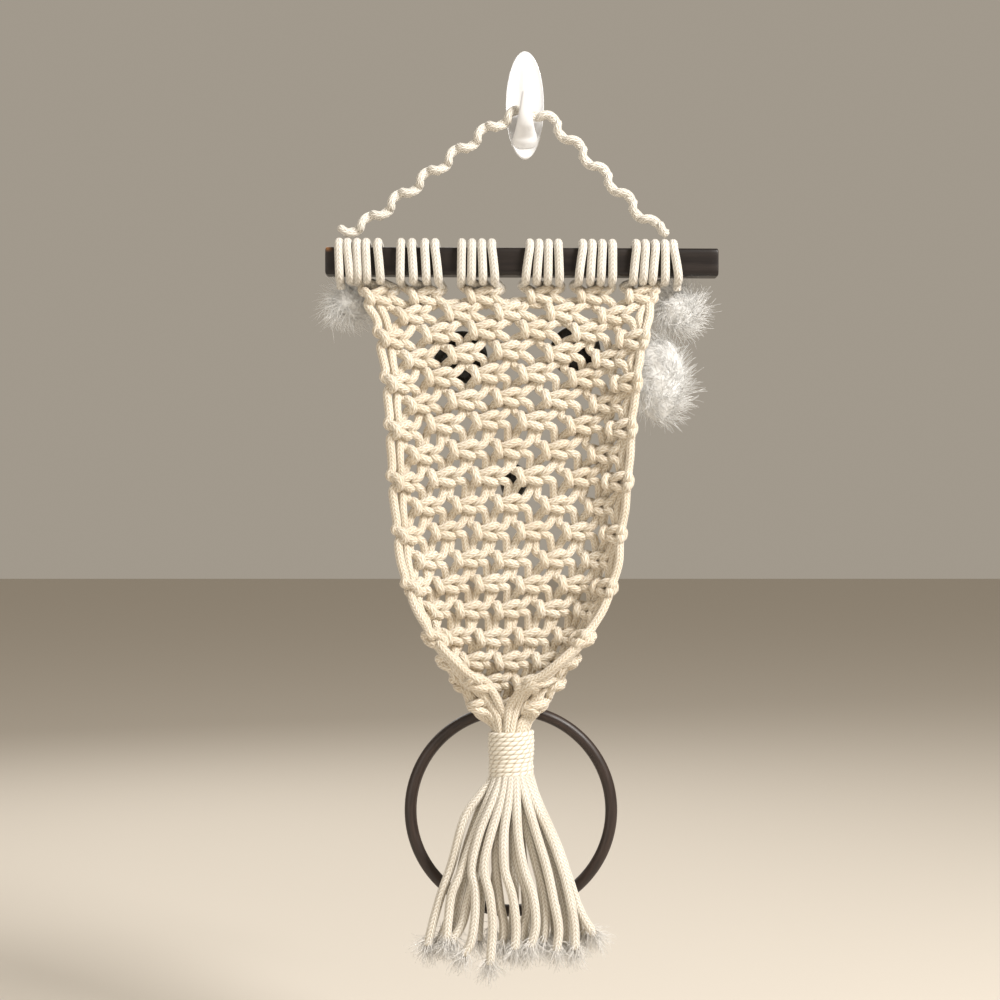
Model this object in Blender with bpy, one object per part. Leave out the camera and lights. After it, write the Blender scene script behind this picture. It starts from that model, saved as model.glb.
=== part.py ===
"""A knotted macrame wall hanging on its square bar, with the small hook that carries it.

Metres, +Z up. The origin is the middle of the hook's back plate, on the wall: the wall is the
plane y = 0, and the hanging lies in front of it, at negative y. +X is to the right for somebody
who faces the wall.
"""
import math

import bmesh
import bpy
import numpy as np
from mathutils import Matrix, Vector

MM = 0.001
GAP = 0.3 * MM                      # clearance between pieces that meet

# Wall hook
HOOK_WIDTH = 17.5 * MM
HOOK_HEIGHT = 49.8 * MM
HOOK_THICK = 3.4 * MM
PRONG_SIDES = 20

# Square bar, which hangs a little lower at its right end
BAR_LEFT = -90.7 * MM
BAR_RIGHT = 87.5 * MM
BAR_SIDE = 12.7 * MM
BAR_Y = -11.6 * MM
BAR_Z = -73.6 * MM
BAR_TILT = math.radians(0.25)
BAR_EDGE = 0.5 * MM

# Cord and the turns round the bar
CORD = 3.6 * MM                     # thickness of the cord where it is pressed on the bar
BAND_CORNER = 2.6 * MM

# Net
NET_TOP = -84.6 * MM
NET_CENTRE = -8.0 * MM              # x of the net's middle column
NET_THICK = 8.0 * MM
NET_THICK_FOOT = 5.0 * MM
NET_THIN_FROM = -255.0 * MM         # below this height the net thins towards the wrap
HALF_COLUMNS = 2.5                  # the outer knots stand this many pitches from the middle
BORDER = 5.5 * MM                   # flat width of net outside the outer knots' centres
LEFT_SHARE = 0.97                   # the left half is knotted a little closer than the right
RIGHT_SHARE = 1.05
CELL_HALF = 3.2 * MM                # half the height of a gap's cell
FLAT_STEPS = 120                    # steps used to add up the curve of a cross-section

# Gathering wrap, tassel and ring
WRAP_X = -6.5 * MM
WRAP_Y = -19.0 * MM
WRAP_TOP = -285.8 * MM
WRAP_FOOT = -307.6 * MM
WRAP_RADIUS = 10.2 * MM
TASSEL_TOP = WRAP_FOOT - GAP
TASSEL_LOBES = 15
LOBE_POINTS = 6
RING_Z = -323.6 * MM
RING_Y = -8.0 * MM
RING_RADIUS = 45.9 * MM             # to the middle of the section
RING_SECTION = 2.75 * MM

HANGER_RADIUS = 3.3 * MM

# The net's cross-section at several heights. back: y of the middle of the panel. pitch: flat
# distance from knot to knot. left and right: degrees that each side has turned forward.
# bend_from and bend_to: flat distances from the middle where a side starts and stops bending.
NET_SECTIONS = [
    # height    back   pitch  left  right  bend_from  bend_to
    (-84.6,    -9.0,   24.0,    8,     8,    34.0,     62.0),
    (-104.0,  -14.9,   22.4,   26,    28,    32.0,     60.0),
    (-124.0,  -15.6,   21.4,   36,    38,    30.0,     56.0),
    (-146.0,  -15.6,   20.8,   40,    42,    30.0,     54.0),
    (-170.0,  -15.4,   20.3,   42,    46,    30.0,     54.0),
    (-195.0,  -15.0,   19.6,   46,    54,    30.0,     54.0),
    (-212.0,  -14.8,   19.0,   54,    58,    29.0,     52.0),
    (-226.0,  -14.6,   18.2,   68,    66,    27.0,     48.0),
    (-244.0,  -14.5,   17.2,   92,    88,    22.0,     41.0),
    (-258.0,  -14.5,   16.0,  122,   120,    16.0,     36.0),
    (-266.0,  -14.0,   14.8,  155,   152,    12.0,     33.0),
    (-275.0,  -13.8,   12.6,  172,   172,     8.0,     29.0),
    (-285.4,  -13.6,    5.4,  172,   172,     1.0,     17.5),
]

# Height of each row of knots at the middle of the net
ROW_HEIGHTS = [
    -88.0, -95.6, -103.9, -113.7, -123.9, -135.0, -145.6, -158.1, -170.4,
    -183.1, -195.3, -207.8, -219.6, -231.1, -243.5, -254.5, -264.5, -274.5,
]

# The larger gaps between knots that the panel keeps open. row counts from the top, and columns
# are pitches from the middle.
NET_GAPS = {1: (-2, -1, 0, 1, 2), 3: (0,), 5: (0,), 7: (-1, 0, 1), 9: (-1, 1)}

# Cord turns on the bar: left and right end of each group along the bar
LOOP_GROUPS = [
    # name       left    right
    ("loops_1", -85.9,  -63.9),
    ("loops_2", -58.6,  -37.1),
    ("loops_3", -31.0,  -11.7),
    ("loops_4",  -2.0,   17.5),
    ("loops_5",  22.1,   41.6),
    ("loops_6",  46.1,   70.4),
]

# The hanger's route, from the left end of the bar over the hook to the right end
HANGER_ROUTE = [
    # x        y       z
    (-83.5, -11.6, -59.4),
    (-76.0, -11.4, -57.0),
    (-68.0, -11.2, -52.2),
    (-55.0, -10.7, -42.0),
    (-42.0, -10.2, -31.7),
    (-29.5,  -9.6, -21.9),
    (-17.0,  -9.0, -12.4),
    ( -8.5,  -8.6,  -7.2),
    ( -2.5,  -8.4,  -4.7),
    (  4.0,  -8.4,  -4.6),
    ( 10.5,  -8.6,  -7.4),
    ( 19.0,  -9.0, -15.5),
    ( 29.0,  -9.6, -26.0),
    ( 39.0, -10.2, -36.5),
    ( 50.0, -10.8, -48.5),
    ( 58.0, -11.2, -56.0),
    ( 65.5, -11.5, -59.2),
]

# The hook's prong: the middle line of the prong with its width and depth there
PRONG_SECTIONS = [
    # y       z     width  depth
    (-1.6,  -17.0,  12.6,   6.0),
    (-4.6,  -14.0,  10.4,   5.2),
    (-8.0,  -11.8,   8.6,   4.0),
    (-11.0,  -9.6,   7.2,   3.4),
    (-13.0,  -6.0,   6.0,   3.0),
    (-14.1,  -1.5,   4.6,   2.8),
    (-14.6,   2.4,   3.4,   2.6),
    (-14.7,   4.7,   2.2,   1.8),
]

# The tassel's outer form: half width and half depth of the bunch at several heights
TASSEL_SECTIONS = [
    # height   centre_x  centre_y  half_x  half_y  lobe
    (0.0,       -6.5,    -19.0,     9.6,     9.0,  0.03),
    (-9.0,      -6.9,    -20.0,    15.0,     8.7,  0.05),
    (-22.0,     -8.0,    -21.0,    21.5,     8.9,  0.07),
    (-38.0,     -8.4,    -21.8,    27.5,     9.4,  0.09),
    (-54.0,     -8.5,    -22.2,    34.0,     9.8,  0.11),
    (-67.0,     -8.3,    -22.6,    39.0,    10.2,  0.13),
    (-84.0,     -7.8,    -23.2,    43.0,    10.6,  0.13),
]
TASSEL_LIFT = 9.0 * MM              # the ends at the sides hang this much higher than the middle
TOOTH = 7.0 * MM                    # depth of the comb between two cords' ends

# Discs and bead behind the net: centre and half sizes
BACK_PIECES = [
    # name          x       y       z      half_x  half_y  half_z
    ("disc_left",  -29.4,  -7.0,  -116.4,  12.2,   2.8,    12.2),
    ("disc_right",  23.0,  -7.0,  -113.4,  11.6,   2.8,    11.6),
    ("bead",        -5.2,  -6.6,  -173.6,   6.2,   4.2,     8.6),
]

# Brushed fibre: centre and half sizes
TUFTS = [
    # name          x       y       z      half_x  half_y  half_z
    ("tuft_left",  -80.0,  -7.0,   -92.0,  10.0,   4.6,     7.2),
    ("tuft_right",  70.0,  -6.6,   -94.8,   9.6,   4.6,     9.8),
    ("puff_right",  61.5,  -6.4,  -126.4,  12.4,   4.8,    20.4),
]


def clear_scene():
    """Take away every object that a new file starts with."""
    for thing in list(bpy.data.objects):
        bpy.data.objects.remove(thing, do_unlink=True)


def material(name, colour, roughness, metallic=0.0):
    """Return a Principled material of one colour."""
    finish = bpy.data.materials.new(name)
    finish.use_nodes = True
    shader = finish.node_tree.nodes["Principled BSDF"]
    shader.inputs["Base Color"].default_value = (*colour, 1.0)
    shader.inputs["Roughness"].default_value = roughness
    shader.inputs["Metallic"].default_value = metallic
    return finish


def make_object(name, points, faces, finish):
    """Make a closed mesh object whose faces point outwards."""
    mesh = bpy.data.meshes.new(name)
    mesh.from_pydata([tuple(p) for p in points], [], faces)
    shape = bmesh.new()
    shape.from_mesh(mesh)
    bmesh.ops.recalc_face_normals(shape, faces=shape.faces[:])
    if shape.calc_volume(signed=True) < 0:
        bmesh.ops.reverse_faces(shape, faces=shape.faces[:])
    shape.to_mesh(mesh)
    shape.free()
    mesh.materials.append(finish)
    thing = bpy.data.objects.new(name, mesh)
    bpy.context.collection.objects.link(thing)
    return thing


def loft(name, rings, finish, foot=None, top=None):
    """Join rings of points, one after the other, and close both ends on a middle point."""
    count = len(rings[0])
    points = [point for ring in rings for point in ring]
    faces = []
    for ring in range(len(rings) - 1):
        for side in range(count):
            here = ring * count + side
            there = ring * count + (side + 1) % count
            faces.append((here, there, there + count, here + count))
    for ring, middle in ((0, foot), (len(rings) - 1, top)):
        if middle is None:
            middle = sum((Vector(p) for p in rings[ring]), Vector()) / count
        points.append(tuple(middle))
        for side in range(count):
            here = ring * count + side
            faces.append((here, ring * count + (side + 1) % count, len(points) - 1))
    return make_object(name, points, faces, finish)


def smooth_round(thing, degrees=40):
    """Shade a turned or round piece smooth, and keep its real edges sharp."""
    thing.data.shade_smooth()
    thing.data.set_sharp_from_angle(angle=math.radians(degrees))


def ellipse(half_x, half_z, count, y, centre=(0.0, 0.0)):
    """Points of an ellipse that faces the room, at depth y."""
    turns = [2 * math.pi * step / count for step in range(count)]
    return [(centre[0] + half_x * math.cos(a), y, centre[1] + half_z * math.sin(a)) for a in turns]


def build_hook():
    """An oval plate with a domed front, and a prong that leaves its lower part and turns up."""
    white = material("hook_plastic", (0.86, 0.86, 0.85), 0.25)
    levels = [(0.0, 1.0), (0.42, 1.0), (0.75, 0.93), (0.93, 0.74), (1.0, 0.4)]
    rings = [
        ellipse(HOOK_WIDTH / 2 * size, HOOK_HEIGHT / 2 * size, 40, -HOOK_THICK * depth)
        for depth, size in levels
    ]
    plate = loft("wall_hook", rings, white, foot=(0, 0, 0), top=(0, -HOOK_THICK, 0))

    line = [Vector((0.0, y * MM, z * MM)) for y, z, _, _ in PRONG_SECTIONS]
    rings = []
    for index, (_, _, width, depth) in enumerate(PRONG_SECTIONS):
        ahead = line[min(index + 1, len(line) - 1)] - line[max(index - 1, 0)]
        outward = Vector((1, 0, 0)).cross(ahead).normalized()
        rings.append([
            line[index]
            + Vector((1, 0, 0)) * (width / 2 * MM * math.cos(turn))
            + outward * (depth / 2 * MM * math.sin(turn))
            for turn in (2 * math.pi * step / PRONG_SIDES for step in range(PRONG_SIDES))
        ])
    prong = loft("prong_form", rings, white)
    prong.hide_render = True
    prong.display_type = "WIRE"
    join = plate.modifiers.new("prong", "BOOLEAN")
    join.operation = "UNION"
    join.solver = "EXACT"
    join.object = prong
    smooth_round(plate)


def build_bar():
    """The square bar, with its edges just broken."""
    dark = material("dark_stained_wood", (0.035, 0.022, 0.017), 0.45)
    half = Vector(((BAR_RIGHT - BAR_LEFT) / 2, BAR_SIDE / 2, BAR_SIDE / 2))
    shape = bmesh.new()
    bmesh.ops.create_cube(shape, size=2.0)
    bmesh.ops.scale(shape, vec=half, verts=shape.verts[:])
    bmesh.ops.bevel(shape, geom=shape.edges[:], offset=BAR_EDGE, segments=1, affect="EDGES")
    mesh = bpy.data.meshes.new("bar")
    shape.to_mesh(mesh)
    shape.free()
    mesh.materials.append(dark)
    bar = bpy.data.objects.new("bar", mesh)
    bar.location = ((BAR_LEFT + BAR_RIGHT) / 2, BAR_Y, BAR_Z)
    bar.rotation_euler = (0, BAR_TILT, 0)
    bpy.context.collection.objects.link(bar)


def bar_height(x):
    """Height of the bar's middle line at x."""
    return BAR_Z - (x - (BAR_LEFT + BAR_RIGHT) / 2) * math.tan(BAR_TILT)


def rounded_square(half, corner, steps):
    """Outline of a square with round corners, as (depth, height) pairs."""
    outline = []
    for quarter in range(4):
        middle = math.pi / 2 * quarter
        turn_x = half - corner
        centre = Vector((turn_x, turn_x))
        centre.rotate(Matrix.Rotation(middle, 2))
        for step in range(steps + 1):
            turn = middle + math.pi / 2 * step / steps
            outline.append((centre.x + corner * math.cos(turn), centre.y + corner * math.sin(turn)))
    return outline


def build_loops():
    """Each group of cord turns is a square sleeve round the bar."""
    cord = material("cotton_cord", (0.80, 0.75, 0.64), 0.85)
    inner = rounded_square(BAR_SIDE / 2 + GAP, 0.3 * MM, 4)
    outer = rounded_square(BAR_SIDE / 2 + GAP + CORD, BAND_CORNER, 4)
    count = len(outer)
    for name, left, right in LOOP_GROUPS:
        points = []
        for x, outline in ((left, inner), (left, outer), (right, outer), (right, inner)):
            middle = bar_height(x * MM)
            points += [(x * MM, BAR_Y + depth, middle + height) for depth, height in outline]
        faces = []
        for ring in range(4):
            near = ring * count
            far = (ring + 1) % 4 * count
            for step in range(count):
                nxt = (step + 1) % count
                faces.append((near + step, near + nxt, far + nxt, far + step))
        make_object(name, points, faces, cord)


def build_hanger():
    """The knotted hanger, as one tube along its route."""
    route = np.array(HANGER_ROUTE) * MM
    line = smooth_line(route, 56)
    curve = bpy.data.curves.new("hanger", "CURVE")
    curve.dimensions = "3D"
    curve.bevel_depth = HANGER_RADIUS
    curve.bevel_resolution = 3
    curve.use_fill_caps = True
    spline = curve.splines.new("POLY")
    spline.points.add(len(line) - 1)
    for point, place in zip(spline.points, line):
        point.co = (*place, 1.0)
        over_hook = max(0.0, 1.0 - abs(place[0]) / (12 * MM))
        point.radius = 1.0 - 0.22 * over_hook
    curve.materials.append(material("hanger_cord", (0.80, 0.75, 0.64), 0.85))
    bpy.context.collection.objects.link(bpy.data.objects.new("hanger", curve))


def smooth_line(route, count):
    """Points along a smooth curve through the route's own points, evenly spaced."""
    padded = np.vstack([2 * route[0] - route[1], route, 2 * route[-1] - route[-2]])
    dense = []
    for index in range(1, len(padded) - 2):
        before, start, end, after = padded[index - 1:index + 3]
        for t in np.linspace(0, 1, 12, endpoint=False):
            bend = (2 * before - 5 * start + 4 * end - after) * t ** 2
            twist = (3 * start - before - 3 * end + after) * t ** 3
            dense.append(0.5 * (2 * start + (end - before) * t + bend + twist))
    dense = np.array(dense + [route[-1]])
    length = np.concatenate([[0], np.cumsum(np.linalg.norm(np.diff(dense, axis=0), axis=1))])
    places = np.linspace(0, length[-1], count)
    return np.column_stack([np.interp(places, length, dense[:, axis]) for axis in range(3)])


def net_numbers(height):
    """The cross-section's numbers at one height, between the rows of the table."""
    table = np.array(NET_SECTIONS)
    values = [np.interp(-height / MM, -table[:, 0], table[:, column]) for column in range(1, 7)]
    back, pitch, left, right, bend_from, bend_to = values
    return back * MM, pitch * MM, math.radians(left), math.radians(right), bend_from * MM, bend_to * MM


def net_point(column, height):
    """Place and forward direction of the net's middle surface.

    The cross-section is a line whose direction turns: it runs along +X in the middle, and between
    bend_from and bend_to it turns forward by the side's angle, on a smooth step.
    """
    back, pitch, left, right, bend_from, bend_to = net_numbers(height)
    share, turn, side = (RIGHT_SHARE, right, 1) if column > 0 else (LEFT_SHARE, left, -1)
    flat = abs(column) * pitch * share
    steps = np.linspace(0, flat, FLAT_STEPS)
    part = np.clip((steps - bend_from) / (bend_to - bend_from), 0, 1)
    angle = turn * part * part * (3 - 2 * part)
    step = flat / (FLAT_STEPS - 1)
    out = np.sum((np.cos(angle[1:]) + np.cos(angle[:-1])) / 2) * step
    ahead = np.sum((np.sin(angle[1:]) + np.sin(angle[:-1])) / 2) * step
    place = Vector((NET_CENTRE + side * out, back - ahead, height))
    normal = Vector((-side * math.sin(angle[-1]), -math.cos(angle[-1]), 0.0))
    return place, normal


def net_grid():
    """Columns and heights of the net's cells; a gap of the net is one cell left out."""
    heights = [NET_TOP]
    for row in ROW_HEIGHTS:
        if row * MM + CELL_HALF < heights[-1] - 0.5 * MM:
            heights.append(row * MM + CELL_HALF)
        heights.append(row * MM - CELL_HALF)
    heights.append(WRAP_TOP + 0.4 * MM)
    inner = [quarter / 4 + 0.125 for quarter in range(-11, 11)]
    return heights, inner


def build_net():
    """The net as a curved panel of its own thickness, with its larger gaps open."""
    heights, inner = net_grid()
    rows = len(heights)
    columns = len(inner) + 2
    front = []
    back = []
    for height in heights:
        pitch = net_numbers(height)[1]
        edge = HALF_COLUMNS + BORDER / pitch
        thin = min(1.0, max(0.0, (height - WRAP_TOP) / (NET_THIN_FROM - WRAP_TOP)))
        half = (NET_THICK_FOOT + (NET_THICK - NET_THICK_FOOT) * thin) / 2
        for column in [-edge] + inner + [edge]:
            place, normal = net_point(column, height)
            front.append(place + normal * half)
            back.append(place - normal * half)

    gaps = set()
    for row, places in NET_GAPS.items():
        middle = ROW_HEIGHTS[row - 1] * MM
        line = min(range(rows - 1), key=lambda i: abs((heights[i] + heights[i + 1]) / 2 - middle))
        for column in places:
            cell = min(range(len(inner) - 1), key=lambda i: abs(inner[i] + 0.125 - column))
            gaps.add((line, cell + 1))

    shape = bmesh.new()
    front = [shape.verts.new(p) for p in front]
    back = [shape.verts.new(p) for p in back]
    kept = {(i, j) for i in range(rows - 1) for j in range(columns - 1)} - gaps
    for i, j in kept:
        corners = [i * columns + j, i * columns + j + 1, (i + 1) * columns + j + 1, (i + 1) * columns + j]
        shape.faces.new([front[c] for c in corners])
        shape.faces.new([back[c] for c in reversed(corners)])
        for (one, two), neighbour in zip(
            ((0, 1), (1, 2), (2, 3), (3, 0)),
            ((i - 1, j), (i, j + 1), (i + 1, j), (i, j - 1)),
        ):
            if neighbour not in kept:
                a, b = corners[one], corners[two]
                shape.faces.new([front[b], front[a], back[a], back[b]])
    loose = [v for v in shape.verts if not v.link_faces]
    bmesh.ops.delete(shape, geom=loose, context="VERTS")
    bmesh.ops.recalc_face_normals(shape, faces=shape.faces[:])
    if shape.calc_volume(signed=True) < 0:
        bmesh.ops.reverse_faces(shape, faces=shape.faces[:])
    mesh = bpy.data.meshes.new("net")
    shape.to_mesh(mesh)
    shape.free()
    mesh.materials.append(material("net_cord", (0.78, 0.72, 0.60), 0.85))
    bpy.context.collection.objects.link(bpy.data.objects.new("net", mesh))


def build_wrap():
    """The gathering wrap: a drum, slightly fuller at its top."""
    levels = [(0.0, 0.93), (0.04, 0.99), (0.5, 1.0), (0.94, 1.04), (1.0, 0.98)]
    rings = []
    for part, size in levels:
        height = WRAP_FOOT + (WRAP_TOP - WRAP_FOOT) * part
        radius = WRAP_RADIUS * size
        rings.append([
            (WRAP_X + radius * math.cos(turn), WRAP_Y + radius * math.sin(turn), height)
            for turn in (2 * math.pi * step / 36 for step in range(36))
        ])
    smooth_round(loft("wrap", rings, material("wrap_cord", (0.84, 0.80, 0.72), 0.8)))


def build_tassel():
    """The tassel's outer form: a flared, flattened bunch with a lobe for each outer cord."""
    count = TASSEL_LOBES * LOBE_POINTS
    rings = []
    for height, centre_x, centre_y, half_x, half_y, lobe in TASSEL_SECTIONS:
        ring = []
        fall = height / TASSEL_SECTIONS[-1][0]
        for step in range(count):
            turn = 2 * math.pi * step / count
            valley = 0.5 - 0.5 * math.cos(TASSEL_LOBES * turn)
            size = 1 - lobe * valley
            lift = fall ** 3 * (TASSEL_LIFT * math.cos(turn) ** 2 + TOOTH * valley)
            ring.append((
                (centre_x + half_x * size * math.cos(turn)) * MM,
                (centre_y + half_y * size * math.sin(turn)) * MM,
                TASSEL_TOP + height * MM + lift,
            ))
        rings.append(ring)
    last = TASSEL_SECTIONS[-1]
    under = [
        (
            last[1] * MM + (x - last[1] * MM) * 0.93,
            last[2] * MM + (y - last[2] * MM) * 0.84,
            z - 4.5 * MM,
        )
        for x, y, z in rings[-1]
    ]
    rings.append(under)
    middle = Vector((last[1] * MM, last[2] * MM, TASSEL_TOP + last[0] * MM + 4 * MM))
    loft("tassel", rings, material("tassel_cord", (0.80, 0.75, 0.64), 0.85), top=middle)


def build_ring():
    """The round ring, hanging upright behind the foot of the net."""
    around = 72
    sides = 12
    points = []
    faces = []
    for step in range(around):
        turn = 2 * math.pi * step / around
        for side in range(sides):
            tilt = 2 * math.pi * side / sides
            radius = RING_RADIUS + RING_SECTION * math.cos(tilt)
            points.append((
                WRAP_X + radius * math.cos(turn),
                RING_Y + RING_SECTION * math.sin(tilt),
                RING_Z + radius * math.sin(turn),
            ))
            here = step * sides
            there = (step + 1) % around * sides
            nxt = (side + 1) % sides
            faces.append((here + side, there + side, there + nxt, here + nxt))
    ring = make_object("ring", points, faces, material("dark_ring", (0.07, 0.04, 0.03), 0.35))
    smooth_round(ring)


def build_back_pieces():
    """Two flat discs with rounded rims, and an oval bead, all behind the net."""
    black = material("black_gloss", (0.012, 0.01, 0.01), 0.3)
    for name, x, y, z, half_x, half_y, half_z in BACK_PIECES:
        if name == "bead":
            tilts = [math.radians(t) for t in range(-80, 81, 16)]
            levels = [(math.sin(t), math.cos(t)) for t in tilts]
        else:
            levels = [(-1.0, 0.9), (-0.75, 0.98), (0.0, 1.0), (0.75, 0.98), (1.0, 0.9)]
        rings = [
            ellipse(half_x * size * MM, half_z * size * MM, 32, (y - half_y * depth) * MM,
                    (x * MM, z * MM))
            for depth, size in levels
        ]
        foot = (x * MM, (y + half_y) * MM, z * MM)
        top = (x * MM, (y - half_y) * MM, z * MM)
        smooth_round(loft(name, rings, black, foot=foot, top=top), 50)


def build_tufts():
    """Brushed-out fibre, as soft oval pads."""
    grey = material("brushed_fibre", (0.62, 0.62, 0.60), 0.95)
    for name, x, y, z, half_x, half_y, half_z in TUFTS:
        tilts = [math.radians(t) for t in range(-75, 76, 15)]
        rings = [
            ellipse(half_x * math.cos(t) * MM, half_z * math.cos(t) * MM, 24,
                    (y - half_y * math.sin(t)) * MM, (x * MM, z * MM))
            for t in tilts
        ]
        foot = (x * MM, (y + half_y) * MM, z * MM)
        top = (x * MM, (y - half_y) * MM, z * MM)
        loft(name, rings, grey, foot=foot, top=top).data.shade_smooth()


def main():
    clear_scene()
    build_hook()
    build_bar()
    build_loops()
    build_hanger()
    build_net()
    build_wrap()
    build_tassel()
    build_ring()
    build_back_pieces()
    build_tufts()


main()
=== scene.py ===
# %% [markdown]
# # A knotted wall hanging, cord by cord
#
# This lesson dresses a packed construction model of a macrame hanging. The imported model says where
# every piece is; each cell below works out a real surface for one of them. Lengths are metres,
# +Z is up, the wall is the plane y = 0 and the room is on the side of negative y.

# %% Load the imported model
import math

import bpy
import numpy as np
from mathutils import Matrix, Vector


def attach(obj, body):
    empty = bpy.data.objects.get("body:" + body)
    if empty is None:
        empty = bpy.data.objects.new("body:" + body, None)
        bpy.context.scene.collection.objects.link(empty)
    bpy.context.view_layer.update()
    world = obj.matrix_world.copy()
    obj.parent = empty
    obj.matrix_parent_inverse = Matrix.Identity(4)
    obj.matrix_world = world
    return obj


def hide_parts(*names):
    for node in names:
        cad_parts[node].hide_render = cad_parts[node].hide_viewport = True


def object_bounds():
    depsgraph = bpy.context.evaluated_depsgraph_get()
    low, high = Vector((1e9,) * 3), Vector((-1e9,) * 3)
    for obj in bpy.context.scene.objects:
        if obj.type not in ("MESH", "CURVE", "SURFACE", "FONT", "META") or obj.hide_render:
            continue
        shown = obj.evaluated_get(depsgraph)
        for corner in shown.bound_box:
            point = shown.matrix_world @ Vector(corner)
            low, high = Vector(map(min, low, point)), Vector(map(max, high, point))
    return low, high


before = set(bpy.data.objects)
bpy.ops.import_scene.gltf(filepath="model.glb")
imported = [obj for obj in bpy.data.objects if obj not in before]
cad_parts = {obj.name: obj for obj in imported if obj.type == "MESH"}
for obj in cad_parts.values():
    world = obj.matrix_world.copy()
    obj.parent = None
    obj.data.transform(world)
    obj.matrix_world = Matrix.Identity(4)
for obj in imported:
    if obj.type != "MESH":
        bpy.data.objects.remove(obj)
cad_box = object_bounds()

MM = 0.001
random = np.random.default_rng(11)
print("nodes:", sorted(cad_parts))

# %% [markdown]
# ## Camera, floor and light
#
# The hanging is looked at straight on, from about an arm's length more than its height, so that
# its front shows with hardly any perspective. A long lens could be faked by scaling, but a real
# distance and focal length keep the depth of the folds honest. One large lamp from the upper
# right and a pale sky give soft shading between the knots; the floor is only a pale stage.

# %% Camera
VIEW_X = -11.5 * MM
VIEW_Z = -181.7 * MM
VIEW_WIDTH = 453.5 * MM             # what the picture spans at the middle of the net
VIEW_DISTANCE = 900 * MM
SENSOR = 36.0

camera_data = bpy.data.cameras.new("camera")
camera_data.sensor_width = SENSOR
camera_data.lens = SENSOR * VIEW_DISTANCE / VIEW_WIDTH
camera = bpy.data.objects.new("camera", camera_data)
camera.location = (VIEW_X, -VIEW_DISTANCE - 16 * MM, VIEW_Z)
camera.rotation_euler = (math.pi / 2, 0, 0)
bpy.context.collection.objects.link(camera)
bpy.context.scene.camera = camera
print("lens", round(camera_data.lens, 1), "mm")


# %% Floor, lamps and sky
FLOOR_DROP = 60 * MM                # the floor lies this far below the tassel


def lamp(name, place, aim, size, power, colour):
    """Add a square area lamp at a place, turned towards aim."""
    data = bpy.data.lights.new(name, "AREA")
    data.shape = "SQUARE"
    data.size = size
    data.energy = power
    data.color = colour
    thing = bpy.data.objects.new(name, data)
    thing.location = place
    way = np.array(aim) - np.array(place)
    flat = math.hypot(way[0], way[1])
    thing.rotation_euler = (math.atan2(flat, -way[2]), 0, math.atan2(-way[0], way[1]))
    bpy.context.collection.objects.link(thing)
    return thing


def stage_floor(height):
    """A wide pale floor."""
    half = 6.0
    mesh = bpy.data.meshes.new("floor")
    corners = [(-half, -half, height), (half, -half, height), (half, half, height), (-half, half, height)]
    mesh.from_pydata(corners, [], [(0, 1, 2, 3)])
    floor = bpy.data.objects.new("floor", mesh)
    bpy.context.collection.objects.link(floor)
    pale = bpy.data.materials.new("floor_pale")
    pale.use_nodes = True
    shader = pale.node_tree.nodes["Principled BSDF"]
    shader.inputs["Base Color"].default_value = (0.66, 0.61, 0.54, 1)
    shader.inputs["Roughness"].default_value = 0.9
    mesh.materials.append(pale)
    return floor


stage_floor(cad_box[0][2] - FLOOR_DROP)
net_middle = (-8 * MM, -20 * MM, -190 * MM)
lamp("key", (0.95, -0.85, 0.75), net_middle, 0.5, 38.0, (1.0, 0.97, 0.93))
lamp("fill", (-0.9, -1.0, -0.05), net_middle, 0.9, 4.5, (1.0, 0.95, 0.88))
lamp("back", (-0.35, 0.9, 0.45), net_middle, 0.7, 5.0, (1.0, 0.98, 0.95))
sky = bpy.data.worlds.new("sky")
sky.use_nodes = True
sky.node_tree.nodes["Background"].inputs["Color"].default_value = (0.72, 0.64, 0.53, 1)
sky.node_tree.nodes["Background"].inputs["Strength"].default_value = 0.5
bpy.context.scene.world = sky
bpy.context.scene.view_settings.view_transform = "Standard"

# %% [markdown]
# ## Carrying a round section along a path
#
# Every cord here is a soft round rope that bends a lot. Blender's bevelled curve could draw one,
# but a net has two dozen cords with hundreds of bends each, and the cords must squash where they
# are pulled tight. So the section is carried along the path with numpy: the path is a smooth
# curve through a few named places, and at every step a circle is set square to it.


# %% Paths
def smooth_path(places, step):
    """Even points along a smooth curve that passes through every place.

    Between two neighbours the curve is a cubic whose slope at each place is half the way from
    the place before to the place after; the points are then spaced evenly by length.
    """
    places = np.asarray(places, float)
    ends = np.vstack([2 * places[0] - places[1], places, 2 * places[-1] - places[-2]])
    p0, p1, p2, p3 = ends[:-3, None], ends[1:-2, None], ends[2:-1, None], ends[3:, None]
    t = np.linspace(0, 1, 14, endpoint=False)[None, :, None]
    line = 0.5 * (2 * p1 + (p2 - p0) * t + (2 * p0 - 5 * p1 + 4 * p2 - p3) * t ** 2
                  + (3 * p1 - p0 - 3 * p2 + p3) * t ** 3)
    line = np.vstack([line.reshape(-1, places.shape[1]), places[-1]])
    return even_points(line, step=step)


def even_points(line, step=None, count=None):
    """Space points evenly by length along a polyline."""
    length = np.concatenate([[0], np.cumsum(np.linalg.norm(np.diff(line[:, :3], axis=0), axis=1))])
    if count is None:
        count = max(4, int(round(length[-1] / step)) + 1)
    spots = np.linspace(0, length[-1], count)
    return np.column_stack([np.interp(spots, length, line[:, axis]) for axis in range(line.shape[1])])


def path_length(line):
    """Length of a polyline."""
    return float(np.linalg.norm(np.diff(line[:, :3], axis=0), axis=1).sum())


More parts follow.
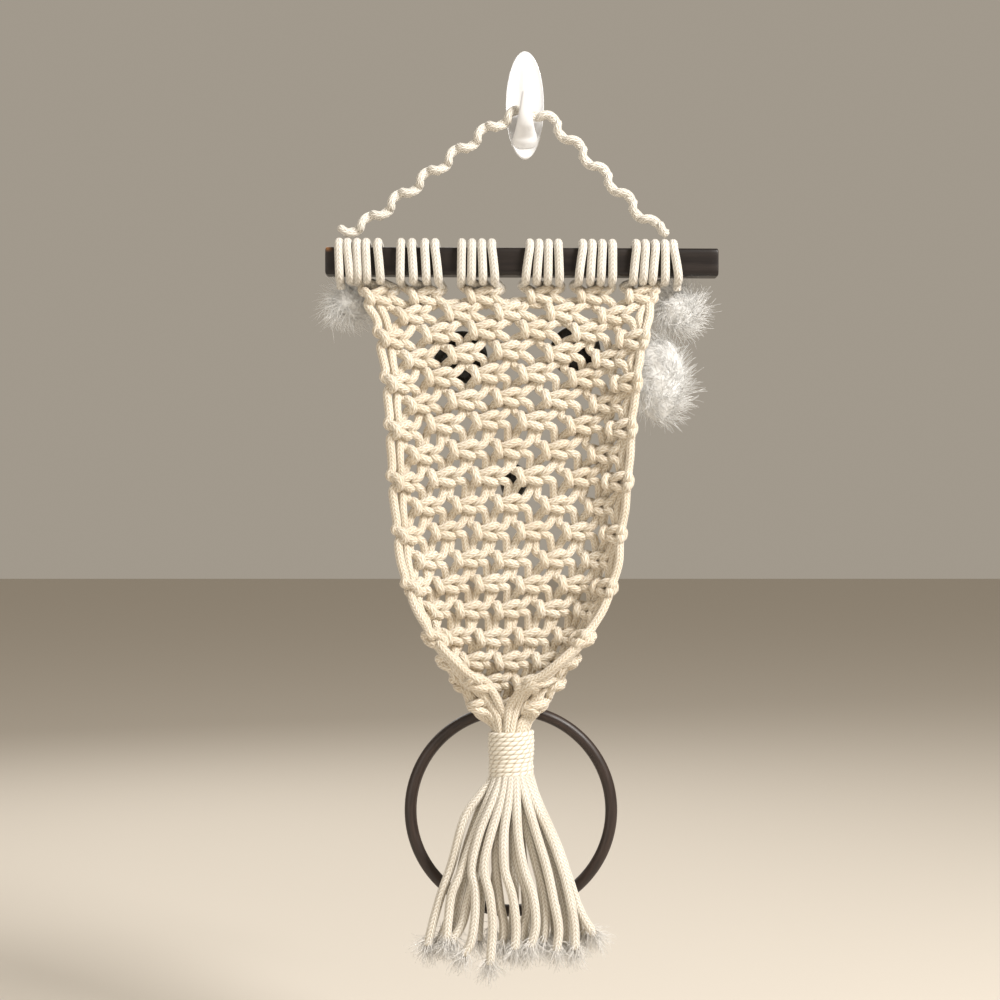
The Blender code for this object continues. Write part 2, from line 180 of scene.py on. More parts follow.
# %% Meshes from whole arrays
def mesh_piece(name, points, faces, finish, uv=None):
    """Make an object from an array of points and arrays of faces, written in one go.

    faces is a list of (count, corners) arrays; uv, if given, is a list of arrays of the same
    leading shape with two numbers for each corner.
    """
    faces = [np.asarray(block, np.int32) for block in faces if len(block)]
    corners = np.concatenate([block.ravel() for block in faces])
    totals = np.concatenate([np.full(len(block), block.shape[1], np.int32) for block in faces])
    mesh = bpy.data.meshes.new(name)
    mesh.vertices.add(len(points))
    mesh.vertices.foreach_set("co", np.asarray(points, np.float32).ravel())
    mesh.loops.add(len(corners))
    mesh.loops.foreach_set("vertex_index", corners)
    mesh.polygons.add(len(totals))
    starts = np.concatenate([[0], np.cumsum(totals)[:-1]]).astype(np.int32)
    mesh.polygons.foreach_set("loop_start", starts)
    mesh.polygons.foreach_set("loop_total", totals)
    mesh.polygons.foreach_set("use_smooth", np.full(len(totals), True))
    if uv is not None:
        layer = mesh.uv_layers.new(name="along")
        layer.data.foreach_set("uv", np.concatenate([np.asarray(b, np.float32).ravel() for b in uv]))
    mesh.update(calc_edges=True)
    mesh.validate()
    thing = bpy.data.objects.new(name, mesh)
    bpy.context.collection.objects.link(thing)
    mesh.materials.append(finish)
    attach(thing, "root")
    return thing


def closed_grid(grid):
    """Points and faces of rings of points, closed at both ends with a middle point."""
    rows, around = grid.shape[:2]
    points = np.concatenate([grid.reshape(-1, 3), [grid[0].mean(0), grid[-1].mean(0)]])
    i, j = np.meshgrid(np.arange(rows - 1), np.arange(around), indexing="ij")
    k = (j + 1) % around
    here, above = i * around, (i + 1) * around
    quads = np.stack([here + j, here + k, above + k, above + j], -1).reshape(-1, 4)
    j = np.arange(around)
    k = (j + 1) % around
    last = (rows - 1) * around
    caps = np.concatenate([
        np.stack([np.full(around, rows * around), k, j], -1),
        np.stack([np.full(around, rows * around + 1), last + j, last + k], -1),
    ])
    return points, [quads, caps]


def turned_out(points, faces):
    """Turn all faces round if the volume they enclose is negative."""
    volume = 0.0
    for block in faces:
        first = points[block[:, 0]]
        for second in range(1, block.shape[1] - 1):
            cross = np.cross(points[block[:, second]], points[block[:, second + 1]])
            volume += (first * cross).sum()
    return faces if volume > 0 else [block[:, ::-1] for block in faces]


def transport(paths):
    """Directions along and across many paths at once, without twist.

    The across direction starts towards the room and, at each step, loses only the part that
    points along the path.
    """
    along = np.gradient(paths, axis=1)
    along /= np.linalg.norm(along, axis=2, keepdims=True) + 1e-12
    across = np.empty_like(along)
    now = np.tile(np.array([0.05, -1.0, 0.03]), (len(paths), 1))
    for step in range(paths.shape[1]):
        tangent = along[:, step]
        now = now - (now * tangent).sum(1, keepdims=True) * tangent
        now /= np.linalg.norm(now, axis=1, keepdims=True) + 1e-12
        across[:, step] = now
    return along, across


def carry_round(paths, radii, sides):
    """Points, faces and unrolled places of round cords along paths.

    Each ring point is the path point plus radius times (cos a across + sin a sideways). radii has
    one number for each path point.
    """
    paths = np.asarray(paths, float)
    count, rings = paths.shape[:2]
    along, across = transport(paths)
    sideways = np.cross(along, across)
    turn = np.linspace(0, 2 * np.pi, sides, endpoint=False)
    reach = np.broadcast_to(radii, (count, rings))[:, :, None]
    shell = (paths[:, :, None, :]
             + (reach * np.cos(turn))[..., None] * across[:, :, None, :]
             + (reach * np.sin(turn))[..., None] * sideways[:, :, None, :])
    points = np.concatenate([shell.reshape(-1, 3), paths[:, 0], paths[:, -1]])

    cord, ring, side = np.meshgrid(np.arange(count), np.arange(rings - 1), np.arange(sides), indexing="ij")
    nxt = (side + 1) % sides
    here = (cord * rings + ring) * sides
    quads = np.stack([here + side, here + nxt, here + sides + nxt, here + sides + side], -1).reshape(-1, 4)
    cord, side = np.meshgrid(np.arange(count), np.arange(sides), indexing="ij")
    nxt = (side + 1) % sides
    first = cord * rings * sides
    last = first + (rings - 1) * sides
    middle = count * rings * sides + cord
    caps = np.concatenate([
        np.stack([middle, first + nxt, first + side], -1).reshape(-1, 3),
        np.stack([middle + count, last + side, last + nxt], -1).reshape(-1, 3),
    ])

    steps = np.linalg.norm(np.diff(paths, axis=1), axis=2)
    length = np.concatenate([np.zeros((count, 1)), np.cumsum(steps, axis=1)], 1)
    low = np.broadcast_to(length[:, :-1, None], (count, rings - 1, sides))
    high = np.broadcast_to(length[:, 1:, None], (count, rings - 1, sides))
    left = np.broadcast_to(np.arange(sides) / sides, low.shape)
    right = left + 1 / sides
    quad_uv = np.stack([
        np.stack([left, low], -1), np.stack([right, low], -1),
        np.stack([right, high], -1), np.stack([left, high], -1),
    ], -2).reshape(-1, 4, 2)
    cap_uv = np.zeros((len(caps), 3, 2))
    cap_uv[:, :, 0] = 0.5
    return points, [quads, caps], [quad_uv, cap_uv]


def cords_piece(name, lines, radius, finish, sides=12, step=0.9 * MM):
    """One object of several cords of one thickness; each line may have a fourth column, a share
    of the radius."""
    count = max(4, int(max(path_length(line) for line in lines) / step) + 1)
    paths = np.stack([even_points(line, count=count) for line in lines])
    radii = np.full(paths.shape[:2], radius)
    if paths.shape[2] > 3:
        radii = radius * paths[:, :, 3]
    points, faces, uv = carry_round(paths[:, :, :3], radii, sides)
    return mesh_piece(name, points, faces, finish, uv)


# %% [markdown]
# ## Cotton cord
#
# The cord is a soft eight-strand plait about 4 mm thick: seen from any side it shows small
# leaning stitches that meet in rows of V. Every stitch could be modelled, but two dozen cords of
# them would be far too heavy, so the plait is drawn on the cord's unrolled surface: four V
# columns go round it, each stitch is a little hill, and its edges carry painted shade: the colour
# is darkened there as shade falls between stitches. Fine stretched noise stands for the fibres.
# The pattern moves with the cord because it uses the cord's own unrolled places.


# %% A short way to write node trees
class Tree:
    """Writes a material's nodes; numbers or sockets can be given as inputs."""

    def __init__(self, name):
        self.material = bpy.data.materials.new(name)
        self.material.use_nodes = True
        self.nodes = self.material.node_tree.nodes
        self.links = self.material.node_tree.links
        self.shader = self.nodes["Principled BSDF"]

    def put(self, socket, value):
        """Link a socket, or set a constant."""
        if isinstance(value, bpy.types.NodeSocket):
            self.links.new(value, socket)
        else:
            socket.default_value = value

    def node(self, kind, inputs, **settings):
        """Add a node, set its options, and fill its inputs by name or number."""
        node = self.nodes.new(kind)
        for option, value in settings.items():
            setattr(node, option, value)
        for key, value in inputs.items():
            self.put(node.inputs[key], value)
        return node

    def math(self, operation, a, b=0.0, clamp=False):
        """One step of arithmetic."""
        return self.node("ShaderNodeMath", {0: a, 1: b}, operation=operation, use_clamp=clamp).outputs[0]

    def noise(self, place, scale, detail=3.0, rough=0.55):
        """A noise value between 0 and 1."""
        inputs = {"Vector": place, "Scale": scale, "Detail": detail, "Roughness": rough}
        return self.node("ShaderNodeTexNoise", inputs).outputs["Fac"]

    def ramp(self, value, low, high, start, end):
        """Change a value from one range to another, and hold it there."""
        inputs = {"Value": value, "From Min": low, "From Max": high, "To Min": start, "To Max": end}
        return self.node("ShaderNodeMapRange", inputs, clamp=True).outputs[0]

    def mix(self, share, one, two):
        """Mix two colours."""
        node = self.nodes.new("ShaderNodeMix")
        node.data_type = "RGBA"
        self.put(node.inputs["Factor"], share)
        self.put(node.inputs["A"], one)
        self.put(node.inputs["B"], two)
        return node.outputs["Result"]

    def bump(self, height, strength, distance, below=None):
        """Turn a height into a surface direction."""
        inputs = {"Height": height, "Strength": strength, "Distance": distance}
        if below is not None:
            inputs["Normal"] = below
        return self.node("ShaderNodeBump", inputs).outputs["Normal"]

    def object_place(self):
        """The place on the piece, in metres."""
        return self.node("ShaderNodeTexCoord", {}).outputs["Object"]

    def along_place(self):
        """The unrolled place on a cord: turns round it, and metres along it."""
        return self.node("ShaderNodeUVMap", {}, uv_map="along").outputs["UV"]


# %% Plaited cotton
V_COLUMNS = 4
STITCH = 1.9 * MM
STITCH_LEAN = 1.15                  # how far a stitch climbs across its column, in stitches


def plait_height(tree, turns, metres, columns, stitch, lean):
    """Height of a plait on an unrolled cord.

    Across each column, side goes from 0 in its middle to 1 at its edges. A stitch's phase is the
    distance along in stitches plus lean times side, so stitches lean both ways from the middle.
    The height is a hill over the phase, lowered at the middle and edges of the column.
    """
    across = tree.math("FRACT", tree.math("MULTIPLY", turns, columns))
    side = tree.math("ABSOLUTE", tree.math("SUBTRACT", tree.math("MULTIPLY", across, 2.0), 1.0))
    phase = tree.math("ADD", tree.math("DIVIDE", metres, stitch), tree.math("MULTIPLY", side, lean))
    wave = tree.math("SINE", tree.math("MULTIPLY", tree.math("FRACT", phase), math.pi))
    hill = tree.math("POWER", wave, 0.6)
    edge = tree.math("SUBTRACT", tree.math("MULTIPLY", side, 2.0), 1.0)
    edge = tree.math("POWER", tree.math("ABSOLUTE", edge), 3.0)
    return tree.math("MULTIPLY", hill, tree.math("SUBTRACT", 1.0, tree.math("MULTIPLY", edge, 0.75)))


def cotton(name, light, shade, columns=V_COLUMNS, stitch=STITCH, lean=STITCH_LEAN, depth=0.34 * MM):
    """Matt cream cord with a plait, painted shade in the grooves between its stitches, loose fibres and soft
    differences of colour.
    """
    tree = Tree(name)
    place = tree.object_place()
    unrolled = tree.node("ShaderNodeSeparateXYZ", {0: tree.along_place()})
    turns, metres = unrolled.outputs[0], unrolled.outputs[1]
    plait = plait_height(tree, turns, metres, columns, stitch, lean)
    fibre_place = tree.node("ShaderNodeCombineXYZ", {
        0: tree.math("MULTIPLY", turns, 46.0),
        1: tree.math("MULTIPLY", metres, 900.0),
    }).outputs[0]
    fibre = tree.noise(fibre_place, 1.0, 4.0, 0.6)
    patch = tree.noise(place, 55.0, 3.0)
    # painted shade: the colour goes towards the shade colour in the plait's grooves, between stitches
    colour = tree.mix(tree.ramp(plait, 0.15, 0.75, 1.0, 0.0), light, shade)
    colour = tree.mix(tree.ramp(patch, 0.35, 0.7, 0.0, 0.4), colour, shade)
    colour = tree.mix(tree.ramp(fibre, 0.35, 0.7, 0.22, 0.0), colour, shade)
    height = tree.math("ADD", plait, tree.math("MULTIPLY", fibre, 0.5))
    tree.put(tree.shader.inputs["Base Color"], colour)
    tree.put(tree.shader.inputs["Roughness"], tree.ramp(fibre, 0.3, 0.7, 0.82, 0.96))
    tree.put(tree.shader.inputs["Normal"], tree.bump(height, 0.9, depth))
    tree.shader.inputs["Sheen Weight"].default_value = 0.35
    tree.shader.inputs["Sheen Roughness"].default_value = 0.5
    tree.shader.inputs["Specular IOR Level"].default_value = 0.25
    return tree.material


CREAM = (0.87, 0.82, 0.72, 1)
CREAM_SHADE = (0.52, 0.41, 0.27, 1)
net_cotton = cotton("net_cotton", CREAM, CREAM_SHADE)
print("cotton ready")

# %% [markdown]
# ## The net's curved form
#
# The net hangs almost flat under the bar, and its two sides curl forward more and more until
# they fold over the front and close at the wrap. A cloth simulation could find such a form, but
# knots are stiff and it would drift from the real one. Here the form is a table of
# cross-sections: each one is a line whose direction turns by a known angle, so the flat width of
# the net never stretches. Any knot is then placed by its flat column and its height.

# %% Cross-sections of the net
NET_CENTRE = -8.0 * MM
LEFT_SHARE = 0.97
RIGHT_SHARE = 1.05
NET_SECTIONS = np.array([
    # height    back   pitch  left  right  bend_from  bend_to
    (-84.6,    -9.0,   24.0,    8,     8,    34.0,     62.0),
    (-104.0,  -14.9,   22.4,   26,    28,    32.0,     60.0),
    (-124.0,  -15.6,   21.4,   36,    38,    30.0,     56.0),
    (-146.0,  -15.6,   20.8,   40,    42,    30.0,     54.0),
    (-170.0,  -15.4,   20.3,   42,    46,    30.0,     54.0),
    (-195.0,  -15.0,   19.6,   46,    54,    30.0,     54.0),
    (-212.0,  -14.8,   19.0,   54,    58,    29.0,     52.0),
    (-226.0,  -14.6,   18.2,   68,    66,    27.0,     48.0),
    (-244.0,  -14.5,   17.2,   92,    88,    22.0,     41.0),
    (-258.0,  -14.5,   16.0,  122,   120,    16.0,     36.0),
    (-266.0,  -14.0,   14.8,  155,   152,    12.0,     33.0),
    (-275.0,  -13.8,   12.6,  172,   172,     8.0,     29.0),
    (-285.4,  -13.6,    5.4,  172,   172,     1.0,     17.5),
])
FLAT = np.linspace(-80, 80, 321) * MM
HEIGHTS = np.linspace(-300, -78, 445) * MM


def section_value(column, height):
    """A column of the table at any height."""
    value = np.interp(-np.asarray(height) / MM, -NET_SECTIONS[:, 0], NET_SECTIONS[:, column])
    return np.radians(value) if column in (3, 4) else value * MM


def net_tables():
    """Place and turn of the net for every flat distance and height.

    The turn grows from bend_from to bend_to on a smooth step. x is the running sum of its cosine
    along the flat distance, and y goes forward by the running sum of its sine.
    """
    flat, height = np.meshgrid(FLAT, HEIGHTS)
    start, end = section_value(5, height), section_value(6, height)
    part = np.clip((np.abs(flat) - start) / (end - start), 0, 1)
    side = np.where(flat < 0, section_value(3, height), section_value(4, height))
    turn = np.sign(flat) * side * part * part * (3 - 2 * part)
    step = FLAT[1] - FLAT[0]
    middle = len(FLAT) // 2

    def running(values):
        between = (values[:, 1:] + values[:, :-1]) / 2
        sums = np.concatenate([np.zeros((len(HEIGHTS), 1)), np.cumsum(between, axis=1)], 1)
        return (sums - sums[:, middle:middle + 1]) * step

    return NET_CENTRE + running(np.cos(turn)), section_value(1, height) - running(np.sin(turn)), turn


NET_X, NET_Y, NET_TURN = net_tables()


def look_up(table, flat, height):
    """A table's value between its own points, straight in both directions."""
    i = np.clip((flat - FLAT[0]) / (FLAT[1] - FLAT[0]), 0, len(FLAT) - 1.001)
    j = np.clip((height - HEIGHTS[0]) / (HEIGHTS[1] - HEIGHTS[0]), 0, len(HEIGHTS) - 1.001)
    a, b = i.astype(int), j.astype(int)
    s, t = i - a, j - b
    return ((table[b, a] * (1 - s) + table[b, a + 1] * s) * (1 - t)
            + (table[b + 1, a] * (1 - s) + table[b + 1, a + 1] * s) * t)


def on_net(column, across, height, proud):
    """Places near the net: column in pitches from the middle, then a distance across, a height,
    and how far proud of the middle surface, towards the pouch's inside."""
    pitch = section_value(2, height)
    share = np.where(column > 0, RIGHT_SHARE, LEFT_SHARE)
    squeeze = np.minimum(1.0, pitch / (16 * MM))
    flat = column * pitch * share + across * squeeze
    turn = look_up(NET_TURN, flat, height)
    x = look_up(NET_X, flat, height) - np.sin(turn) * proud
    y = look_up(NET_Y, flat, height) - np.cos(turn) * proud
    return np.stack([x, y, height], -1)


print("net is", round(5 * 20.3 + 13), "mm wide when flat, near its middle")

# %% [markdown]
# ## Square knots
#
# Four cords make a knot: two lie straight down the middle, and the outer two are tied round them.
# The left cord crosses in front of the middle pair to the right, turns, and crosses back below
# itself. The right cord goes behind the pair, comes up at the left as an upright bump over both
# crossings, dives behind again and leaves at the right. A bump map of knots would look flat in
# the folds, so each cord is given the handful of places it passes in one knot, and those places
# are repeated for every knot in its way.

# %% One knot's routes
# Places are millimetres: across to the right, up, and proud towards the viewer.
KNOT = {
    "left": [
        (-8.8, 4.2, -0.3), (-6.4, 2.2, -0.1), (-4.0, 0.7, 0.9), (-1.8, 0.8, 2.6),
        (0.4, 1.5, 3.3), (2.6, 2.4, 3.0), (4.7, 2.7, 1.4),
        (5.6, 1.2, -0.7), (5.4, -1.6, -0.7),
        (4.2, -3.0, 1.6), (2.0, -2.6, 3.0), (-0.6, -1.7, 3.1), (-3.2, -1.7, 1.8), (-5.4, -3.2, 0.2),
    ],
    "middle_left": [(-0.1, 4.2, -0.2), (0.2, 1.6, -0.3), (0.3, -1.6, -0.3), (0.3, -4.8, 0.1)],
    "middle_right": [(2.5, 4.6, -0.4), (2.8, 1.6, -0.3), (2.9, -1.6, -0.3), (3.1, -5.0, -0.4)],
    "right": [
        (9.3, 3.3, 1.3), (7.2, 1.5, 2.2), (5.4, 0.5, 1.0), (3.0, 0.4, -2.2), (-0.4, 0.8, -3.6),
        (-3.6, 1.8, -2.6), (-5.3, 2.4, 0.4), (-5.2, 1.6, 3.4), (-4.5, -0.4, 5.0), (-3.9, -2.4, 3.9),
        (-3.5, -3.2, 1.0), (-2.0, -2.7, -2.2), (0.6, -1.3, -3.7), (3.4, -0.9, -2.4),
        (5.4, -0.9, 0.6), (7.2, -2.0, 2.0), (9.9, -3.4, 1.2),
    ],
}
ROLES = ["left", "middle_left", "middle_right", "right"]
ROW_HEIGHTS = np.array([
    -88.0, -95.6, -103.9, -113.7, -123.9, -135.0, -145.6, -158.1, -170.4,
    -183.1, -195.3, -207.8, -219.6, -231.1, -243.5, -254.5, -264.5, -274.5,
]) * MM
TOP_COLUMNS = [-2.60, -1.68, -0.53, 0.60, 1.52, 2.44]      # the first row follows the bar's groups
SIDE_DROP = np.array([(-88, 0.6), (-98, 4.5), (-114, 6.0), (-135, 4.8), (-158, 3.8), (-183, 2.2), (-208, 1.5),
                      (-232, 0.3), (-260, -1.0), (-275, 0.0)]) * MM
CORDS = 24


EDGE_REACH = 5.4
FLOATING_CORDS = ((0, -2.5, -5.3), (1, -2.5, -0.7), (22, 2.5, 0.7), (23, 2.5, 5.3))
FLOATING_PROUD = 0.3 * MM
HEIGHT_SCATTER = 0.4 * MM
COLUMN_SCATTER = 0.018
LEAN_SCATTER = 0.06
LOW_ROW = 9                         # from this row down the knots are pulled tighter
LOW_SIZE = 0.89


def row_height(row, column):
    """Height of a knot: the row's own height, lower towards the sides of the net."""
    height = ROW_HEIGHTS[row]
    drop = np.interp(-height, -SIDE_DROP[:, 0], SIDE_DROP[:, 1])
    return height - drop * (column / 2.5) ** 2


def knot_places(role, column, height, lean, size, edge):
    """The places of one cord in one knot, turned by lean in the plane of the net.

    In an edge knot the outer cord comes and goes straight up and down, so its first and last
    places are drawn in towards the knot.
    """
    places = np.array(KNOT[role])
    if edge:
        places[0] = (edge * EDGE_REACH, places[0, 1] + 1.2, 0.6)
        places[-1] = (edge * EDGE_REACH, places[-1, 1] - 1.2, 0.6)
    places *= MM * size
    across = places[:, 0] * math.cos(lean) - places[:, 1] * math.sin(lean)
    up = places[:, 0] * math.sin(lean) + places[:, 1] * math.cos(lean)
    return on_net(np.full(len(places), column), across, height + up, places[:, 2])


def net_routes():
    """The places of all 24 cords, from the first row of knots to the wrap."""
    routes = [[] for _ in range(CORDS)]
    for row in range(len(ROW_HEIGHTS)):
        first = 0 if row % 2 == 0 else 2
        knots = (CORDS - 2 * first) // 4
        for knot in range(knots):
            column = knot - (knots - 1) / 2
            height = row_height(row, column) + random.uniform(-1, 1) * HEIGHT_SCATTER
            if row == 0:
                place = TOP_COLUMNS[knot]
            else:
                place = column + random.uniform(-COLUMN_SCATTER, COLUMN_SCATTER)
            lean = random.uniform(-LEAN_SCATTER, LEAN_SCATTER)
            size = random.uniform(0.97, 1.03) * (LOW_SIZE if row >= LOW_ROW else 1.0)
            for part, role in enumerate(ROLES):
                cord = first + knot * 4 + part
                edge = {0: -1, CORDS - 1: 1}.get(cord, 0)
                routes[cord].append(knot_places(role, place, height, lean, size, edge))
        if first:
            for cord, column, across in FLOATING_CORDS:
                spot = np.array([column, across * MM, row_height(row, column), FLOATING_PROUD])
                routes[cord].append(on_net(*spot[:, None]))
    return [np.vstack(route) for route in routes]


WRAP_X = -6.5 * MM
WRAP_Y = -19.0 * MM
WRAP_TOP = -285.4 * MM
INNER_REACH = 3.2 * MM              # every third cord lies inside the bundle, the others round it
OUTER_REACH = 6.6 * MM


def gathered(routes):
    """Carry every cord on from the last knots into the bundle inside the wrap, in the order of
    its own direction round the bundle."""
    lasts = np.array([route[-1] for route in routes])
    middle = np.array([WRAP_X, WRAP_Y])
    away = np.arctan2(lasts[:, 1] - middle[1], lasts[:, 0] - middle[0])
    order = np.argsort(away)
    slots = np.empty(len(routes))
    slots[order] = np.linspace(-np.pi, np.pi, len(routes), endpoint=False)
    reach = np.where(np.arange(len(routes)) % 3 == 0, INNER_REACH, OUTER_REACH)
    for cord, route in enumerate(routes):
        x = middle[0] + reach[cord] * math.cos(slots[cord])
        y = middle[1] + reach[cord] * math.sin(slots[cord])
        half = (route[-1] + (x, y, WRAP_TOP)) / 2
        half[:2] += (np.array([x, y]) - half[:2]) * 0.35
        routes[cord] = np.vstack([route, half, (x, y, WRAP_TOP - 1 * MM), (x, y, WRAP_TOP - 7 * MM)])
    return routes


CORD_RADIUS = 1.98 * MM
routes = gathered(net_routes())
for group in range(6):
    lines = [smooth_path(routes[cord], 0.5 * MM) for cord in range(group * 4, group * 4 + 4)]
    piece = cords_piece("net_cords_%d" % (group + 1), lines, CORD_RADIUS, net_cotton, sides=12, step=0.8 * MM)
    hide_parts("net")
    metres = sum(path_length(line) for line in lines)
    print(piece.name, len(piece.data.polygons), "faces,", round(metres, 2), "m")

# %% [markdown]
# ## The cords over the bar
#
# Each cord is folded in half over the bar and its two ends are pulled through the fold, behind.
# From the room only the plain legs show: they come over the top, down the front and under the
# bar. Every leg keeps to the square bar with soft corners, a little unevenly as hand-tied cord does.

# %% Legs round the bar
BAR_CENTRE_Y = -11.6 * MM
BAR_Z = -73.6 * MM
BAR_SIDE = 12.7 * MM
BAR_TILT = math.tan(math.radians(0.25))
LEG_TOPS = [
    [-84.4, -80.6, -76.3, -72.2, -66.8],
    [-56.4, -51.4, -45.5, -40.9],
    [-28.8, -24.2, -19.7, -15.2],
    [2.0, 6.2, 10.4, 14.9],
    [26.0, 30.2, 34.8, 39.4],
    [50.2, 54.3, 58.8, 63.2, 67.0],
]
LEG_FEET = [
    [-84.0, -79.2, -75.6, -71.6, -65.6],
    [-56.6, -50.6, -44.8, -39.4],
    [-29.0, -24.4, -19.2, -13.8],
    [0.2, 5.2, 10.2, 15.4],
    [24.2, 29.4, 34.2, 39.4],
    [48.8, 53.4, 57.6, 63.2, 69.2],
]
loop_cotton = cotton("loop_cotton", (0.88, 0.85, 0.79, 1), (0.53, 0.48, 0.40, 1))


def bar_level(x):
    """Height of the bar's centre, which drops a little to the right."""
    return BAR_Z - (x + 1.6 * MM) * BAR_TILT


def leg(top, foot):
    """One leg: up the bar's back, over its top, down its front and under it."""
    places = np.array([
        (0.2, -3.3, -5.5), (0.1, -2.9, 0.0), (0.0, -3.4, 5.6), (0.0, -5.6, 8.2), (0.0, -11.6, 8.6),
        (0.0, -17.4, 8.3), (0.0, -20.0, 5.8), (0.5, -20.1, 0.0), (0.9, -20.0, -5.6),
        (1.0, -17.8, -8.4), (1.0, -13.4, -9.0),
    ])
    x = (top + (foot - top) * places[:, 0]) * MM
    return np.column_stack([x, places[:, 1] * MM, bar_level(x) + places[:, 2] * MM])


for group, (tops, feet) in enumerate(zip(LEG_TOPS, LEG_FEET)):
    extra = {0: 0, 5: 4}.get(group)
    lines = []
    into = 0
    for number, (top, foot) in enumerate(zip(tops, feet)):
        line = leg(top, foot)
        if number == extra:
            line = np.vstack([line, line[-1] + np.array([0.0, 2.0, -3.0]) * MM])
        else:
            start = routes[group * 4 + into][:3]
            line = np.vstack([line, start])
            into += 1
        lines.append(smooth_path(line, 0.5 * MM))
    name = "loop_cords_%d" % (group + 1)
    piece = cords_piece(name, lines, CORD_RADIUS, loop_cotton, sides=12, step=0.8 * MM)
    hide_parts("loops_%d" % (group + 1))
print("legs:", sum(len(tops) for tops in LEG_TOPS))

# %% [markdown]
# ## The bar
#
# A square wooden bar, stained nearly black, its edges rubbed soft. It could be a bevelled cube;
# a rounded-square section carried along the bar gives the same soft edges, and lets its two ends
# close in smoothly.


# %% Bar surface
SQUARENESS = 9
END_SOFTNESS = 0.9 * MM
BAR_LEFT = -90.7 * MM
BAR_RIGHT = 87.5 * MM


def rounded_square_bar(x0, x1, side, centre_y, level, around=64, along=60):
    """A square section with soft corners carried along x and drawn in at both ends.

    The section is the curve where |y| and |z|, each to the power SQUARENESS, add up to half the
    side to that power; near an end it shrinks as a quarter circle of small radius.
    """
    angle = np.linspace(0, 2 * np.pi, around, endpoint=False)
    unit = np.stack([np.cos(angle), np.sin(angle)], -1)
    unit /= (np.abs(unit) ** SQUARENESS).sum(1, keepdims=True) ** (1 / SQUARENESS)
    soft = END_SOFTNESS
    near = soft * (1 - np.sin(np.linspace(0, np.pi / 2, 6)))
    x = np.sort(np.concatenate([x0 + near, np.linspace(x0 + soft, x1 - soft, along)[1:-1], x1 - near]))
    inset = np.minimum(x - x0, x1 - x)
    inset = soft - np.sqrt(np.clip(soft ** 2 - np.clip(soft - inset, 0, soft) ** 2, 0, None))
    half = side / 2 - inset
    rings = np.empty((len(x), around, 3))
    rings[..., 0] = x[:, None]
    rings[..., 1] = centre_y + half[:, None] * unit[:, 0]
    rings[..., 2] = level(x)[:, None] + half[:, None] * unit[:, 1]
    return closed_grid(rings)


def stained_wood():
    """Nearly black stain over wood: long grain, a satin coat, brown where the edges are rubbed."""
    tree = Tree("stained_wood")
    place = tree.object_place()
    stretch = tree.node("ShaderNodeMapping", {0: place}, vector_type="POINT")
    stretch.inputs["Scale"].default_value = (14.0, 260.0, 260.0)
    grain = tree.noise(stretch.outputs[0], 1.0, 5.0, 0.65)
    spots = tree.noise(place, 190.0, 4.0, 0.6)
    split = tree.node("ShaderNodeSeparateXYZ", {0: place})
    left = tree.ramp(split.outputs[0], -90.2 * MM, -86.6 * MM, 1.0, 0.0)
    high = tree.ramp(split.outputs[2], -69.6 * MM, -67.6 * MM, 0.0, 1.0)
    worn = tree.math("MULTIPLY", tree.math("MULTIPLY", left, high), tree.ramp(spots, 0.3, 0.5, 0.0, 1.0))
    long_grain = tree.ramp(grain, 0.35, 0.7, 0.0, 1.0)
    colour = tree.mix(long_grain, (0.006, 0.004, 0.004, 1), (0.016, 0.010, 0.007, 1))
    colour = tree.mix(worn, colour, (0.32, 0.14, 0.05, 1))
    tree.put(tree.shader.inputs["Base Color"], colour)
    tree.put(tree.shader.inputs["Roughness"], tree.ramp(grain, 0.3, 0.7, 0.34, 0.5))
    tree.put(tree.shader.inputs["Normal"], tree.bump(grain, 0.25, 0.25 * MM))
    tree.shader.inputs["Specular IOR Level"].default_value = 0.4
    return tree.material


points, faces = rounded_square_bar(BAR_LEFT, BAR_RIGHT, BAR_SIDE, BAR_CENTRE_Y, bar_level)
bar = mesh_piece("bar_wood", points, turned_out(points, faces), stained_wood())
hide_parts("bar")
print("bar", len(bar.data.polygons), "faces")

# %% [markdown]
# ## The hanger chain
#
# Two cords are tied round each other by turns: one runs straight while the other makes half a
# hitch round it, and then they change. The chain runs from the left end of the bar, over the
# hook and down to the right end.

# %% Hanger
HANGER_ROUTE = np.array([
    (-83.5, -11.6, -59.4), (-76.0, -11.4, -57.0), (-68.0, -11.2, -52.2), (-55.0, -10.7, -42.0),
    (-42.0, -10.2, -31.7), (-29.5, -9.6, -21.9), (-17.0, -9.0, -12.4), (-8.5, -8.6, -7.2),
    (-2.5, -8.4, -4.7), (4.0, -8.4, -4.6), (10.5, -8.6, -7.4), (19.0, -9.0, -15.5),
    (29.0, -9.6, -26.0), (39.0, -10.2, -36.5), (50.0, -10.8, -48.5), (58.0, -11.2, -56.0),
    (65.5, -11.5, -59.2),
]) * MM
HITCH_PERIOD = 16.7 * MM
HANGER_CORD = 1.8 * MM
HITCH_SHARE = 0.62                  # the share of a period that a cord's own hitch takes
CORE_REACH = 1.15 * MM
HITCH_REACH = 0.9 * MM
HITCH_BUNCH = 1.6 * MM              # how far a hitch is pushed back along the chain


